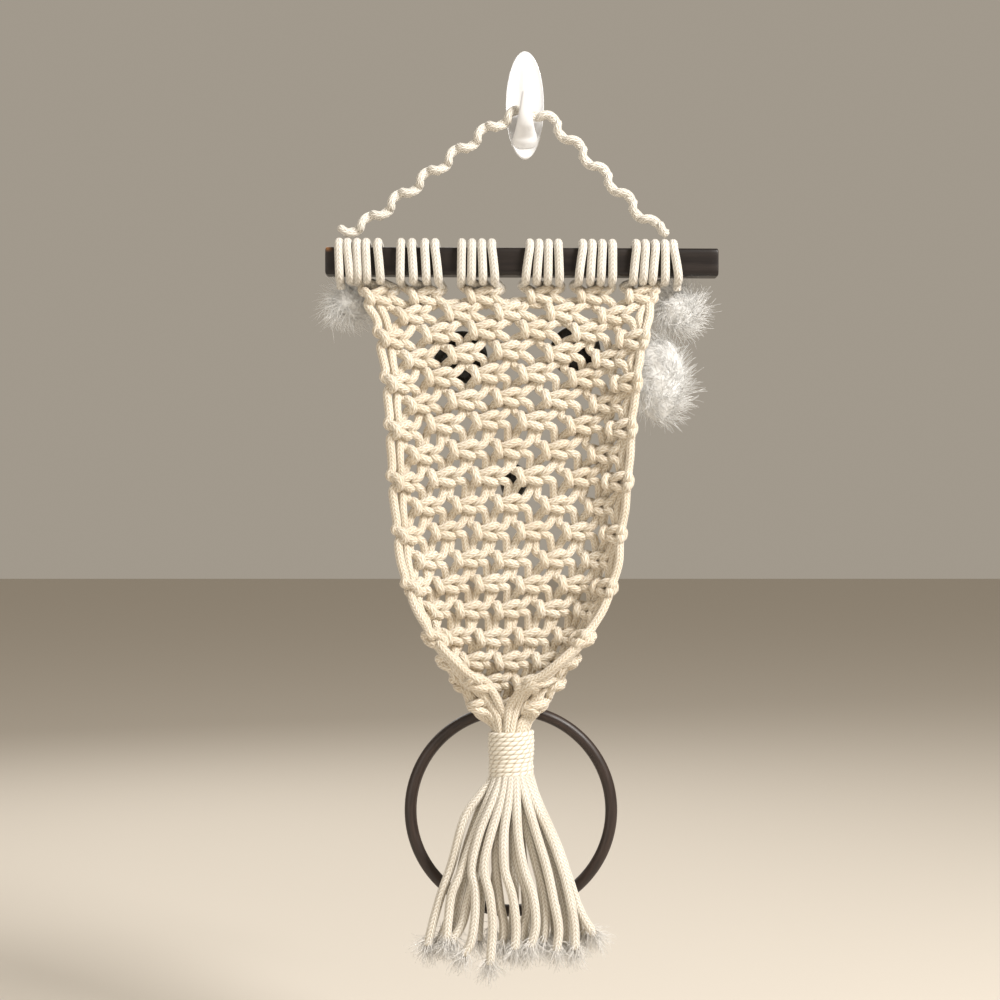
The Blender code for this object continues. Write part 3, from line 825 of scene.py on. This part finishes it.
def hitched(route, phase, hand):
    """One cord of the chain.

    In its own half of a period the cord goes once round the other at the chain's full radius,
    and in the other half it runs along the middle; hand says which way it goes round.
    """
    line = smooth_path(route, 0.35 * MM)
    length = np.concatenate([[0], np.cumsum(np.linalg.norm(np.diff(line, axis=0), axis=1))])
    part = (length / HITCH_PERIOD + phase) % 1.0
    own = np.clip(part / HITCH_SHARE, 0, 1)
    round_angle = 2 * np.pi * own
    reach = np.sin(np.pi * own) ** 0.55 * HITCH_REACH + CORE_REACH
    along = np.gradient(line, axis=0)
    along /= np.linalg.norm(along, axis=1, keepdims=True)
    forward = np.tile([0.0, -1.0, 0.0], (len(line), 1))
    side = np.cross(along, forward)
    across = -hand * np.cos(round_angle) * reach
    proud = np.sin(round_angle) * reach
    bunch = np.sin(2 * np.pi * own) * -HITCH_BUNCH
    return line + side * across[:, None] + forward * proud[:, None] + along * bunch[:, None]


hanger_lines = [hitched(HANGER_ROUTE, 0.0, 1), hitched(HANGER_ROUTE, 0.5, -1)]
hanger = cords_piece("hanger_chain", hanger_lines, HANGER_CORD, loop_cotton, sides=12, step=0.6 * MM)
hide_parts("hanger")

# %% [markdown]
# ## The wall hook
#
# The hook is one piece of glossy white plastic: an oval dish with a thin rim and a soft ridge
# down its middle, and a prong like a small scoop that leaves its lower end, comes forward and
# turns up. The dish is a surface over radius and angle; the prong is an oval section carried
# along its own bend.

# %% Hook surfaces
PLATE_HALF_X = 8.7 * MM
PLATE_HALF_Z = 24.8 * MM
RIM_HEIGHT = 3.2 * MM
DISH_SHARE = 0.30                   # the share of its height that the dish loses in the middle
RIDGE_HEIGHT = 1.3 * MM
RIDGE_HALF = 2.4 * MM
PRONG_SECTIONS = np.array([
    # y       z      width  depth
    (-1.4, -18.6, 12.2, 5.0), (-3.0, -16.2, 12.0, 6.0), (-4.8, -14.0, 10.6, 5.4), (-8.0, -11.8, 8.8, 4.2),
    (-11.0, -9.6, 7.6, 3.5), (-13.0, -6.0, 6.2, 3.1), (-14.1, -1.5, 4.8, 2.8), (-14.6, 2.4, 3.5, 2.5),
    (-14.7, 4.6, 2.3, 1.9),
])


def oval_plate(rings=40, around=120):
    """Points and faces of the dish.

    Share runs from the back's middle over the rim to the front's middle. The front's height is a
    rim, less a shallow dish, plus a ridge that is a bell curve across and fades downwards.
    """
    share = np.linspace(0.02, 1, rings)
    front = RIM_HEIGHT * (1 - DISH_SHARE * (1 - share ** 6))
    angle = np.linspace(0, 2 * np.pi, around, endpoint=False)
    out = np.concatenate([share[::4], [1.005, 1.0], (share[::-1] * 0.985)])
    x = out[:, None] * PLATE_HALF_X * np.cos(angle)
    z = out[:, None] * PLATE_HALF_Z * np.sin(angle)
    back_rows = len(share[::4])
    y = np.zeros_like(x)
    y[back_rows] = -1.2 * MM
    y[back_rows + 1] = -2.4 * MM
    face_x, face_z = x[back_rows + 2:], z[back_rows + 2:]
    ridge = RIDGE_HEIGHT * np.exp(-(face_x / RIDGE_HALF) ** 2) * (1 - (face_z / PLATE_HALF_Z) ** 4)
    y[back_rows + 2:] = -front[::-1][:, None] - ridge * (1 - share[::-1] ** 4)[:, None]
    y = np.minimum(y, 0)
    grid = np.stack([x, y, z], -1)
    return closed_grid(grid)


def scoop_prong(around=40, step=0.5 * MM):
    """An oval section carried along the prong's bend, round at its tip."""
    table = smooth_path(PRONG_SECTIONS * MM, step)
    line = np.column_stack([np.zeros(len(table)), table[:, 0], table[:, 1]])
    along = np.gradient(line, axis=0)
    along /= np.linalg.norm(along, axis=1, keepdims=True)
    side = np.tile([1.0, 0.0, 0.0], (len(line), 1))
    out = np.cross(side, along)
    angle = np.linspace(0, 2 * np.pi, around, endpoint=False)
    length = np.linspace(0, 1, len(line))
    tip = np.sqrt(np.clip(1 - np.clip((length - 0.955) / 0.045, 0, 1) ** 2, 0.02, 1))
    width = table[:, 2] / 2 * tip
    depth = table[:, 3] / 2 * tip
    grid = (line[:, None] + (width[:, None] * np.cos(angle))[..., None] * side[:, None]
            + (depth[:, None] * np.sin(angle))[..., None] * out[:, None])
    return closed_grid(grid)


def white_plastic():
    """Glossy moulded plastic with the faintest unevenness."""
    tree = Tree("hook_plastic")
    place = tree.object_place()
    wave = tree.noise(place, 120.0, 2.0)
    dust = tree.noise(place, 900.0, 4.0, 0.7)
    colour = tree.mix(tree.ramp(wave, 0.35, 0.65, 0.0, 1.0), (0.83, 0.84, 0.86, 1), (0.77, 0.78, 0.81, 1))
    tree.put(tree.shader.inputs["Base Color"], colour)
    tree.put(tree.shader.inputs["Roughness"], tree.ramp(dust, 0.4, 0.75, 0.16, 0.28))
    tree.put(tree.shader.inputs["Normal"], tree.bump(wave, 0.05, 0.5 * MM))
    tree.shader.inputs["Coat Weight"].default_value = 0.3
    tree.shader.inputs["Coat Roughness"].default_value = 0.08
    return tree.material


plastic = white_plastic()
points, faces = oval_plate()
plate = mesh_piece("hook_plate", points, turned_out(points, faces), plastic)
points, faces = scoop_prong()
prong = mesh_piece("hook_prong", points, turned_out(points, faces), plastic)
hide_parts("wall_hook")
print("hook", len(plate.data.polygons) + len(prong.data.polygons), "faces")

# %% [markdown]
# ## The ring
#
# A slim round ring hangs behind the foot of the net. It is a circle carried round a circle; its
# dark brown surface is lightly streaked along the ring and a little glossy.

# %% Ring
RING_CENTRE = np.array([-6.5, -8.0, -323.6]) * MM
RING_RADIUS = 45.9 * MM
RING_SECTION = 2.75 * MM


def ring_surface(steps=192, sides=24):
    """A circle of the section's radius carried round the ring's circle, with its unrolled place."""
    turn, roll = np.meshgrid(np.linspace(0, 2 * np.pi, steps, endpoint=False),
                             np.linspace(0, 2 * np.pi, sides, endpoint=False), indexing="ij")
    reach = RING_RADIUS + RING_SECTION * np.cos(roll)
    round_ring = [reach * np.cos(turn), RING_SECTION * np.sin(roll), reach * np.sin(turn)]
    points = RING_CENTRE + np.stack(round_ring, -1)
    i, j = np.meshgrid(np.arange(steps), np.arange(sides), indexing="ij")
    a, b = (i + 1) % steps, (j + 1) % sides
    quads = np.stack([i * sides + j, i * sides + b, a * sides + b, a * sides + j], -1).reshape(-1, 4)
    low = np.stack([j / sides, i / steps], -1)
    corners = [low, low + (1 / sides, 0), low + (1 / sides, 1 / steps), low + (0, 1 / steps)]
    uv = np.stack(corners, -2).reshape(-1, 4, 2)
    points = points.reshape(-1, 3)
    return points, quads, uv


def dark_ring():
    """Brown-black with fine streaks that run round the ring."""
    tree = Tree("ring_brown")
    unrolled = tree.node("ShaderNodeSeparateXYZ", {0: tree.along_place()})
    streak_place = tree.node("ShaderNodeCombineXYZ", {
        0: tree.math("MULTIPLY", unrolled.outputs[0], 16.0),
        1: tree.math("MULTIPLY", unrolled.outputs[1], 26.0),
    }).outputs[0]
    streak = tree.noise(streak_place, 1.0, 5.0, 0.65)
    patch = tree.noise(tree.object_place(), 70.0, 3.0)
    streaks = tree.ramp(streak, 0.35, 0.7, 0.0, 1.0)
    colour = tree.mix(streaks, (0.014, 0.008, 0.006, 1), (0.038, 0.021, 0.014, 1))
    colour = tree.mix(tree.ramp(patch, 0.4, 0.7, 0.0, 0.5), colour, (0.020, 0.011, 0.008, 1))
    tree.put(tree.shader.inputs["Base Color"], colour)
    tree.put(tree.shader.inputs["Roughness"], tree.ramp(streak, 0.3, 0.7, 0.36, 0.52))
    tree.put(tree.shader.inputs["Normal"], tree.bump(streak, 0.3, 0.2 * MM))
    return tree.material


points, quads, uv = ring_surface()
ring = mesh_piece("ring_round", points, turned_out(points, [quads]), dark_ring(), [uv])
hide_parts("ring")
print("ring", len(quads), "faces")

# %% [markdown]
# ## Black discs and bead
#
# Behind the net sit two shallow black discs and a bead. They show only through the gaps. Each is
# a round lens: a circle swept up to a low dome on the front and back.


# %% Discs and bead
def lens(centre, half, power=2.4, rows=36, around=72):
    """A rounded solid: |x|, |y| and |z| over their halves, to a power, add up to one.

    It is worked out over a slope from back to front and an angle round.
    """
    slope = np.linspace(-np.pi / 2, np.pi / 2, rows + 2)[1:-1]
    turn = np.linspace(0, 2 * np.pi, around, endpoint=False)
    a, b = np.meshgrid(slope, turn, indexing="ij")
    ray = np.stack([np.cos(a) * np.cos(b), np.sin(a), np.cos(a) * np.sin(b)], -1)
    wide = np.hypot(ray[..., 0], ray[..., 2])
    reach = (wide ** power + np.abs(ray[..., 1]) ** power) ** (-1 / power)
    grid = np.array(centre) + ray * reach[..., None] * np.array(half)
    return closed_grid(grid)


def black_gloss():
    """Black with a soft sheen and fine scuffs."""
    tree = Tree("black_gloss")
    place = tree.object_place()
    scuff = tree.noise(place, 420.0, 4.0, 0.65)
    scuffs = tree.ramp(scuff, 0.5, 0.8, 0.0, 1.0)
    colour = tree.mix(scuffs, (0.006, 0.006, 0.006, 1), (0.02, 0.018, 0.017, 1))
    tree.put(tree.shader.inputs["Base Color"], colour)
    tree.put(tree.shader.inputs["Roughness"], tree.ramp(scuff, 0.4, 0.7, 0.22, 0.4))
    tree.put(tree.shader.inputs["Normal"], tree.bump(scuff, 0.15, 0.1 * MM))
    return tree.material


BACK_PIECES = {
    "disc_left": ((-29.4, -7.0, -116.4), (12.2, 2.8, 12.2)),
    "disc_right": ((23.0, -7.0, -113.4), (11.6, 2.8, 11.6)),
    "bead": ((-5.2, -6.6, -173.6), (6.2, 4.2, 8.6)),
}
gloss = black_gloss()
for node, (centre, half) in BACK_PIECES.items():
    points, faces = lens(np.array(centre) * MM, np.array(half) * MM)
    piece = mesh_piece(node + "_round", points, turned_out(points, faces), gloss)
    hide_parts(node)
print("discs and bead done")

# %% [markdown]
# ## The gathering wrap
#
# A thinner twisted yarn is wound ten times round the gathered cords. The winding is a helix, and
# the yarn's own twist is drawn on its surface as leaning ridges, with painted shade between them.
# Inside, a plain core fills the space that the cords take.

# %% Wrap
WRAP_BOTTOM = -307.3 * MM
WRAP_TURNS = 10
YARN_RADIUS = 1.18 * MM
CORE_RADIUS = 8.3 * MM


def twisted_yarn():
    """Cream yarn of two plies, drawn as leaning ridges round the yarn, with painted shade between the ridges.
    """
    tree = Tree("wrap_yarn")
    unrolled = tree.node("ShaderNodeSeparateXYZ", {0: tree.along_place()})
    phase = tree.math("ADD", tree.math("MULTIPLY", unrolled.outputs[0], 2.0),
                      tree.math("DIVIDE", unrolled.outputs[1], 3.4 * MM))
    ply = tree.math("SINE", tree.math("MULTIPLY", tree.math("FRACT", phase), math.pi))
    fibre_place = tree.node("ShaderNodeCombineXYZ", {
        0: tree.math("MULTIPLY", phase, 9.0),
        1: tree.math("MULTIPLY", unrolled.outputs[1], 300.0),
    }).outputs[0]
    fibre = tree.noise(fibre_place, 1.0, 4.0, 0.6)
    # painted shade: the colour darkens between the plies' ridges
    colour = tree.mix(tree.ramp(ply, 0.1, 0.6, 1.0, 0.0), (0.84, 0.80, 0.71, 1), (0.52, 0.44, 0.33, 1))
    colour = tree.mix(tree.ramp(fibre, 0.35, 0.7, 0.25, 0.0), colour, (0.52, 0.44, 0.33, 1))
    height = tree.math("ADD", ply, tree.math("MULTIPLY", fibre, 0.4))
    tree.put(tree.shader.inputs["Base Color"], colour)
    tree.put(tree.shader.inputs["Roughness"], tree.ramp(fibre, 0.3, 0.7, 0.8, 0.95))
    tree.put(tree.shader.inputs["Normal"], tree.bump(height, 0.8, 0.3 * MM))
    tree.shader.inputs["Sheen Weight"].default_value = 0.3
    return tree.material


def winding():
    """A helix round the bundle, a little wider at its top, each turn slightly out of place."""
    turn = np.linspace(0, WRAP_TURNS, WRAP_TURNS * 60)
    share = turn / WRAP_TURNS
    uneven = np.interp(turn, np.arange(WRAP_TURNS + 1), random.uniform(-0.25, 0.25, WRAP_TURNS + 1)) * MM
    radius = (9.0 + 0.5 * (1 - share) ** 2) * MM + uneven
    height = WRAP_TOP - 1.1 * MM + (WRAP_BOTTOM - WRAP_TOP + 2.2 * MM) * share + uneven * 0.5
    angle = 2 * np.pi * turn
    return np.stack([WRAP_X + radius * np.cos(angle), WRAP_Y - radius * np.sin(angle), height], -1)


line = winding()
wrap = cords_piece("wrap_yarn_turns", [line], YARN_RADIUS, twisted_yarn(), sides=12, step=0.7 * MM)
core_heights = (WRAP_TOP - 0.5 * MM, (WRAP_TOP + WRAP_BOTTOM) / 2, WRAP_BOTTOM)
core_line = smooth_path([(WRAP_X, WRAP_Y, height) for height in core_heights], 2 * MM)
core = cords_piece("wrap_core", [core_line], CORE_RADIUS, net_cotton, sides=32, step=2 * MM)
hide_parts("wrap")
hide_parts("wrap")
print("wrap", round(path_length(line), 2), "m of yarn")

# %% [markdown]
# ## The tassel
#
# The cords hang free below the wrap. Each one is named by where its tip hangs and how it bends on
# the way; their plait is the same as the net's, seen here undisturbed. Every tip is cut and
# brushed out into a small tuft of loose fibres.

# %% Tassel cords
TASSEL_CORDS = [
    # where it leaves the wrap (x, y), then its places on the way down (x, y, z)
    [
        (-15.2, -21.5), (-20.0, -23.0, -314.0), (-27.4, -24.5, -324.6), (-33.2, -26.0, -345.0),
        (-37.8, -27.0, -358.1), (-41.4, -27.5, -370.4), (-44.0, -28.0, -381.0),
    ],
    [
        (-13.4, -24.5), (-17.5, -27.0, -318.0), (-24.0, -29.0, -334.0), (-29.4, -30.0, -348.6),
        (-33.2, -30.6, -357.7), (-34.8, -31.0, -370.4), (-35.3, -31.2, -378.0),
    ],
    [
        (-11.4, -26.4), (-14.6, -29.5, -316.0), (-20.6, -31.5, -330.0), (-24.0, -32.5, -345.0),
        (-22.6, -33.0, -354.5), (-22.6, -33.2, -365.8), (-24.4, -33.2, -378.0), (-27.6, -33.0, -384.0),
    ],
    [
        (-9.2, -27.6), (-11.0, -30.5, -316.0), (-15.8, -33.0, -331.0), (-18.6, -34.4, -345.0),
        (-16.0, -35.0, -357.7), (-14.8, -35.0, -370.4), (-15.6, -34.8, -383.1), (-16.0, -34.6, -388.0),
    ],
    [
        (-6.8, -28.0), (-7.8, -31.0, -316.0), (-9.8, -33.0, -331.0), (-9.6, -34.4, -345.0),
        (-6.0, -35.2, -357.7), (-4.4, -35.2, -370.4), (-4.8, -35.0, -381.0),
    ],
    [
        (-4.4, -27.8), (-4.2, -30.6, -316.0), (-3.4, -33.0, -331.0), (-1.0, -34.4, -345.0),
        (3.2, -34.8, -357.7), (4.4, -34.8, -370.4), (2.2, -34.6, -380.0),
    ],
    [
        (-2.0, -27.0), (0.4, -29.6, -316.0), (4.6, -31.6, -330.0), (9.2, -33.0, -345.0),
        (12.6, -33.4, -360.8), (14.6, -33.2, -372.2), (13.6, -33.0, -382.0),
    ],
    [
        (0.0, -25.4), (4.0, -27.6, -317.0), (10.6, -29.6, -331.0), (15.8, -30.8, -345.0),
        (19.2, -31.2, -357.7), (21.6, -31.2, -370.4), (22.0, -31.0, -382.0),
    ],
    [
        (2.0, -23.0), (6.4, -24.8, -319.0), (14.0, -26.4, -336.0), (19.6, -27.4, -352.0),
        (23.6, -28.0, -364.0), (27.6, -28.4, -371.4), (31.0, -28.6, -376.2),
    ],
    [
        (-14.6, -18.0), (-20.0, -20.0, -320.0), (-27.0, -21.6, -340.0), (-31.0, -23.0, -358.0),
        (-35.0, -24.0, -371.0), (-38.6, -24.4, -380.0),
    ],
    [
        (-12.4, -21.2), (-15.6, -25.6, -322.0), (-20.6, -28.0, -342.0), (-25.6, -28.8, -360.0),
        (-28.4, -29.0, -371.0), (-33.4, -29.4, -379.5),
    ],
    [
        (-9.6, -23.6), (-11.6, -27.0, -322.0), (-13.4, -29.6, -342.0), (-11.6, -30.6, -360.8),
        (-9.8, -30.8, -371.0), (-10.4, -30.4, -380.0),
    ],
    [
        (-6.0, -24.2), (-5.6, -27.0, -322.0), (-4.4, -29.4, -342.0), (1.2, -30.4, -360.0),
        (-1.0, -30.4, -372.0), (-1.6, -30.2, -381.0),
    ],
    [
        (-3.0, -23.4), (-1.0, -26.4, -322.0), (4.0, -28.6, -342.0), (8.0, -29.6, -358.0),
        (8.8, -29.8, -370.0), (7.8, -29.6, -379.0),
    ],
    [
        (0.6, -20.8), (5.6, -22.0, -324.0), (12.0, -24.0, -345.0), (17.2, -25.0, -362.0),
        (18.2, -25.4, -374.0), (17.4, -25.4, -381.0),
    ],
    [
        (2.4, -17.6), (7.0, -19.0, -324.0), (15.4, -20.6, -345.0), (20.4, -21.6, -358.0),
        (25.2, -22.0, -368.0), (26.6, -22.2, -377.0),
    ],
    [
        (-13.0, -14.0), (-17.0, -14.8, -322.0), (-23.6, -15.6, -342.0), (-29.0, -16.6, -360.0),
        (-33.0, -17.4, -376.0),
    ],
    [
        (-9.8, -16.6), (-12.6, -17.4, -322.0), (-18.0, -19.4, -342.0), (-20.0, -20.4, -360.0),
        (-21.4, -21.0, -380.0),
    ],
    [
        (-8.0, -13.0), (-9.4, -14.0, -322.0), (-12.0, -15.6, -342.0), (-14.6, -16.8, -360.0),
        (-15.0, -17.6, -378.0),
    ],
    [
        (-5.6, -17.6), (-5.6, -19.6, -322.0), (-5.4, -22.0, -342.0), (-5.0, -23.6, -360.0),
        (-6.4, -24.4, -381.0),
    ],
    [
        (-4.0, -12.6), (-3.4, -13.6, -322.0), (-1.4, -15.6, -342.0), (0.0, -16.6, -360.0),
        (1.0, -17.4, -379.0),
    ],
    [
        (-2.0, -16.4), (-0.4, -17.6, -322.0), (4.4, -19.8, -342.0), (7.6, -21.0, -360.0),
        (8.4, -21.8, -380.0),
    ],
    [
        (-0.6, -13.2), (2.4, -14.4, -322.0), (8.0, -15.6, -342.0), (12.0, -16.6, -360.0),
        (13.6, -17.6, -378.0),
    ],
    [
        (1.8, -14.8), (6.0, -15.6, -322.0), (12.4, -16.6, -342.0), (17.6, -17.6, -360.0),
        (20.6, -18.4, -375.0),
    ],
]
TASSEL_RADIUS = 2.08 * MM
BUNDLE_SHARE = 0.72                 # how far in the cords lie inside the wrap
tassel_cotton = cotton("tassel_cotton", (0.88, 0.85, 0.78, 1), (0.53, 0.46, 0.36, 1))
tassel_lines = []
for row in TASSEL_CORDS:
    start = np.array(row[0])
    middle = np.array([WRAP_X, WRAP_Y]) / MM
    near = middle + (start - middle) * BUNDLE_SHARE
    leaving = start * 0.93 + near * 0.07
    places = [(*near, -300.0), (*leaving, -307.6)]
    tassel_lines.append(smooth_path(np.array(places + row[1:]) * MM, 0.5 * MM))
for number, part in enumerate((tassel_lines[:8], tassel_lines[8:16], tassel_lines[16:])):
    name = "tassel_cords_%d" % (number + 1)
    piece = cords_piece(name, part, TASSEL_RADIUS, tassel_cotton, sides=14, step=1.0 * MM)
    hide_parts("tassel")
print("tassel cords", [round(path_length(line) / MM) for line in tassel_lines])

# %% [markdown]
# ## Loose fibres
#
# The cut tips, and the wisps of brushed fibre behind the bar, are thousands of hair-thin
# strands. Hair particles would look right but do not survive an export, so each strand is a
# three-sided tube of a few sections, and all strands of a tuft are worked out together.


# %% Fibres
def strand_tubes(roots, ways, lengths, curl, width, joints=5):
    """Many thin tubes at once.

    A strand starts at its root and goes its way; at share t of its length it has strayed by curl
    times t to the power 1.6, along one direction of its own, and by a small sine wave along
    another. Its width falls to a third at the tip.
    """
    count = len(roots)
    ways = ways / np.linalg.norm(ways, axis=1, keepdims=True)
    free = random.normal(size=(count, 3))
    free -= (free * ways).sum(1, keepdims=True) * ways
    free /= np.linalg.norm(free, axis=1, keepdims=True)
    third = np.cross(ways, free)
    share = np.linspace(0, 1, joints)[None, :, None]
    phase = random.uniform(0, 2 * np.pi, (count, 1, 1))
    waves = random.uniform(0.5, 1.4, (count, 1, 1))
    length = lengths[:, None, None]
    path = (roots[:, None] + ways[:, None] * share * length
            + free[:, None] * curl * length * share ** 1.6
            + third[:, None] * 0.16 * length * np.sin(phase + 2 * np.pi * waves * share) * share)
    thin = width * (1 - 0.65 * share)
    angles = np.array([0, 2 * np.pi / 3, 4 * np.pi / 3])
    shell = (path[:, :, None] + thin[..., None] * np.cos(angles)[:, None] * free[:, None, None]
             + thin[..., None] * np.sin(angles)[:, None] * third[:, None, None])
    points = shell.reshape(-1, 3)
    strand, joint, side = np.meshgrid(np.arange(count), np.arange(joints - 1), np.arange(3), indexing="ij")
    nxt = (side + 1) % 3
    here = (strand * joints + joint) * 3
    quads = np.stack([here + side, here + nxt, here + 3 + nxt, here + 3 + side], -1).reshape(-1, 4)
    first = np.arange(count) * joints * 3
    last = first + (joints - 1) * 3
    root_caps = np.stack([first, first + 2, first + 1], -1)
    tip_caps = np.stack([last, last + 1, last + 2], -1)
    caps = np.concatenate([root_caps, tip_caps])
    return points, [quads, caps]


def fibre_material(name, light, shade):
    """Brushed fibres: pale, matt, a little different from strand to strand."""
    tree = Tree(name)
    place = tree.object_place()
    patch = tree.noise(place, 260.0, 3.0, 0.6)
    tree.put(tree.shader.inputs["Base Color"], tree.mix(tree.ramp(patch, 0.35, 0.65, 0.0, 1.0), light, shade))
    tree.put(tree.shader.inputs["Roughness"], tree.ramp(patch, 0.3, 0.7, 0.8, 0.95))
    tree.shader.inputs["Sheen Weight"].default_value = 0.5
    return tree.material


def tip_fibres(line, count):
    """Roots, ways and lengths of the fibres at a cord's cut end."""
    end = line[-1]
    way = line[-1] - line[-8]
    way /= np.linalg.norm(way)
    spread = random.normal(size=(count, 3))
    roots = end - way * random.uniform(0.0, 3.0, (count, 1)) * MM + spread * 0.75 * MM
    ways = way * 1.0 + spread * 0.42 + np.array([0, 0, -0.25])
    return roots, ways, random.uniform(5.0, 10.5, count) * MM


LOWEST_TIP = -397.0 * MM
FRONT_CORDS = 16                    # cords that show get the fuller brushes
tips = [tip_fibres(line, 150 if number < FRONT_CORDS else 80) for number, line in enumerate(tassel_lines)]
roots, ways, lengths = (np.concatenate([tip[part] for tip in tips]) for part in range(3))
lengths = np.minimum(lengths, (roots[:, 2] - LOWEST_TIP) / 0.9)
points, faces = strand_tubes(roots, ways, lengths, 0.35, 0.17 * MM)
brush_fibre = fibre_material("brush_fibre", (0.86, 0.84, 0.81, 1), (0.72, 0.70, 0.67, 1))
brushes = mesh_piece("tassel_brushes", points, faces, brush_fibre)
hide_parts("tassel")
print("tip fibres", len(roots))


# %% Wisps behind the bar
def puff_fibres(centre, half, count, length):
    """Roots inside a rounded solid, and ways that curl round it."""
    ray = random.normal(size=(count, 3))
    ray /= np.linalg.norm(ray, axis=1, keepdims=True)
    depth = random.uniform(0.45, 0.95, (count, 1))
    half = np.array(half)
    roots = np.array(centre) + ray * half * depth
    swirl = np.cross(ray, random.normal(size=(count, 3)) * 0.4 + np.array([0.2, 1.0, 0.1]))
    ways = swirl + ray * 0.18
    return roots, ways, random.uniform(0.5, 1.0, count) * length


def soft_core(centre, half, rows=40, around=56):
    """A rounded solid with a woolly surface: the reach of each ray is changed by a few waves."""
    slope = np.linspace(-np.pi / 2, np.pi / 2, rows + 2)[1:-1]
    turn = np.linspace(0, 2 * np.pi, around, endpoint=False)
    a, b = np.meshgrid(slope, turn, indexing="ij")
    ray = np.stack([np.cos(a) * np.cos(b), np.cos(a) * np.sin(b), np.sin(a)], -1)
    reach = 1 + 0.06 * np.sin(3 * b + 2 * a) + 0.05 * np.sin(5 * a + 1.3) * np.cos(4 * b) * np.cos(a)
    return closed_grid(np.array(centre) + ray * np.array(half) * reach[..., None])


WALL_GAP = -0.3 * MM                # no strand goes into the wall
TUFTS = {
    "tuft_left": ((-80.0, -7.0, -92.0), (10.0, 4.6, 7.2), 900),
    "tuft_right": ((70.0, -6.6, -94.8), (9.6, 4.6, 9.8), 900),
    "puff_right": ((61.5, -6.4, -126.4), (12.4, 4.8, 20.4), 1600),
}
wool = fibre_material("wool_fibre", (0.84, 0.84, 0.83, 1), (0.70, 0.70, 0.69, 1))
for node, (centre, half, count) in TUFTS.items():
    centre, half = np.array(centre) * MM, np.array(half) * MM
    points, faces = soft_core(centre, half * 0.86)
    core = mesh_piece(node + "_core", points, turned_out(points, faces), wool)
    roots, ways, lengths = puff_fibres(centre, half, count, 13 * MM)
    points, faces = strand_tubes(roots, ways, lengths, 0.5, 0.14 * MM)
    points[:, 1] = np.minimum(points[:, 1], WALL_GAP + 0.02 * points[:, 1])
    fuzz = mesh_piece(node + "_fuzz", points, faces, wool)
    for piece in (core, fuzz):
        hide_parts(node)
print("wisps done")
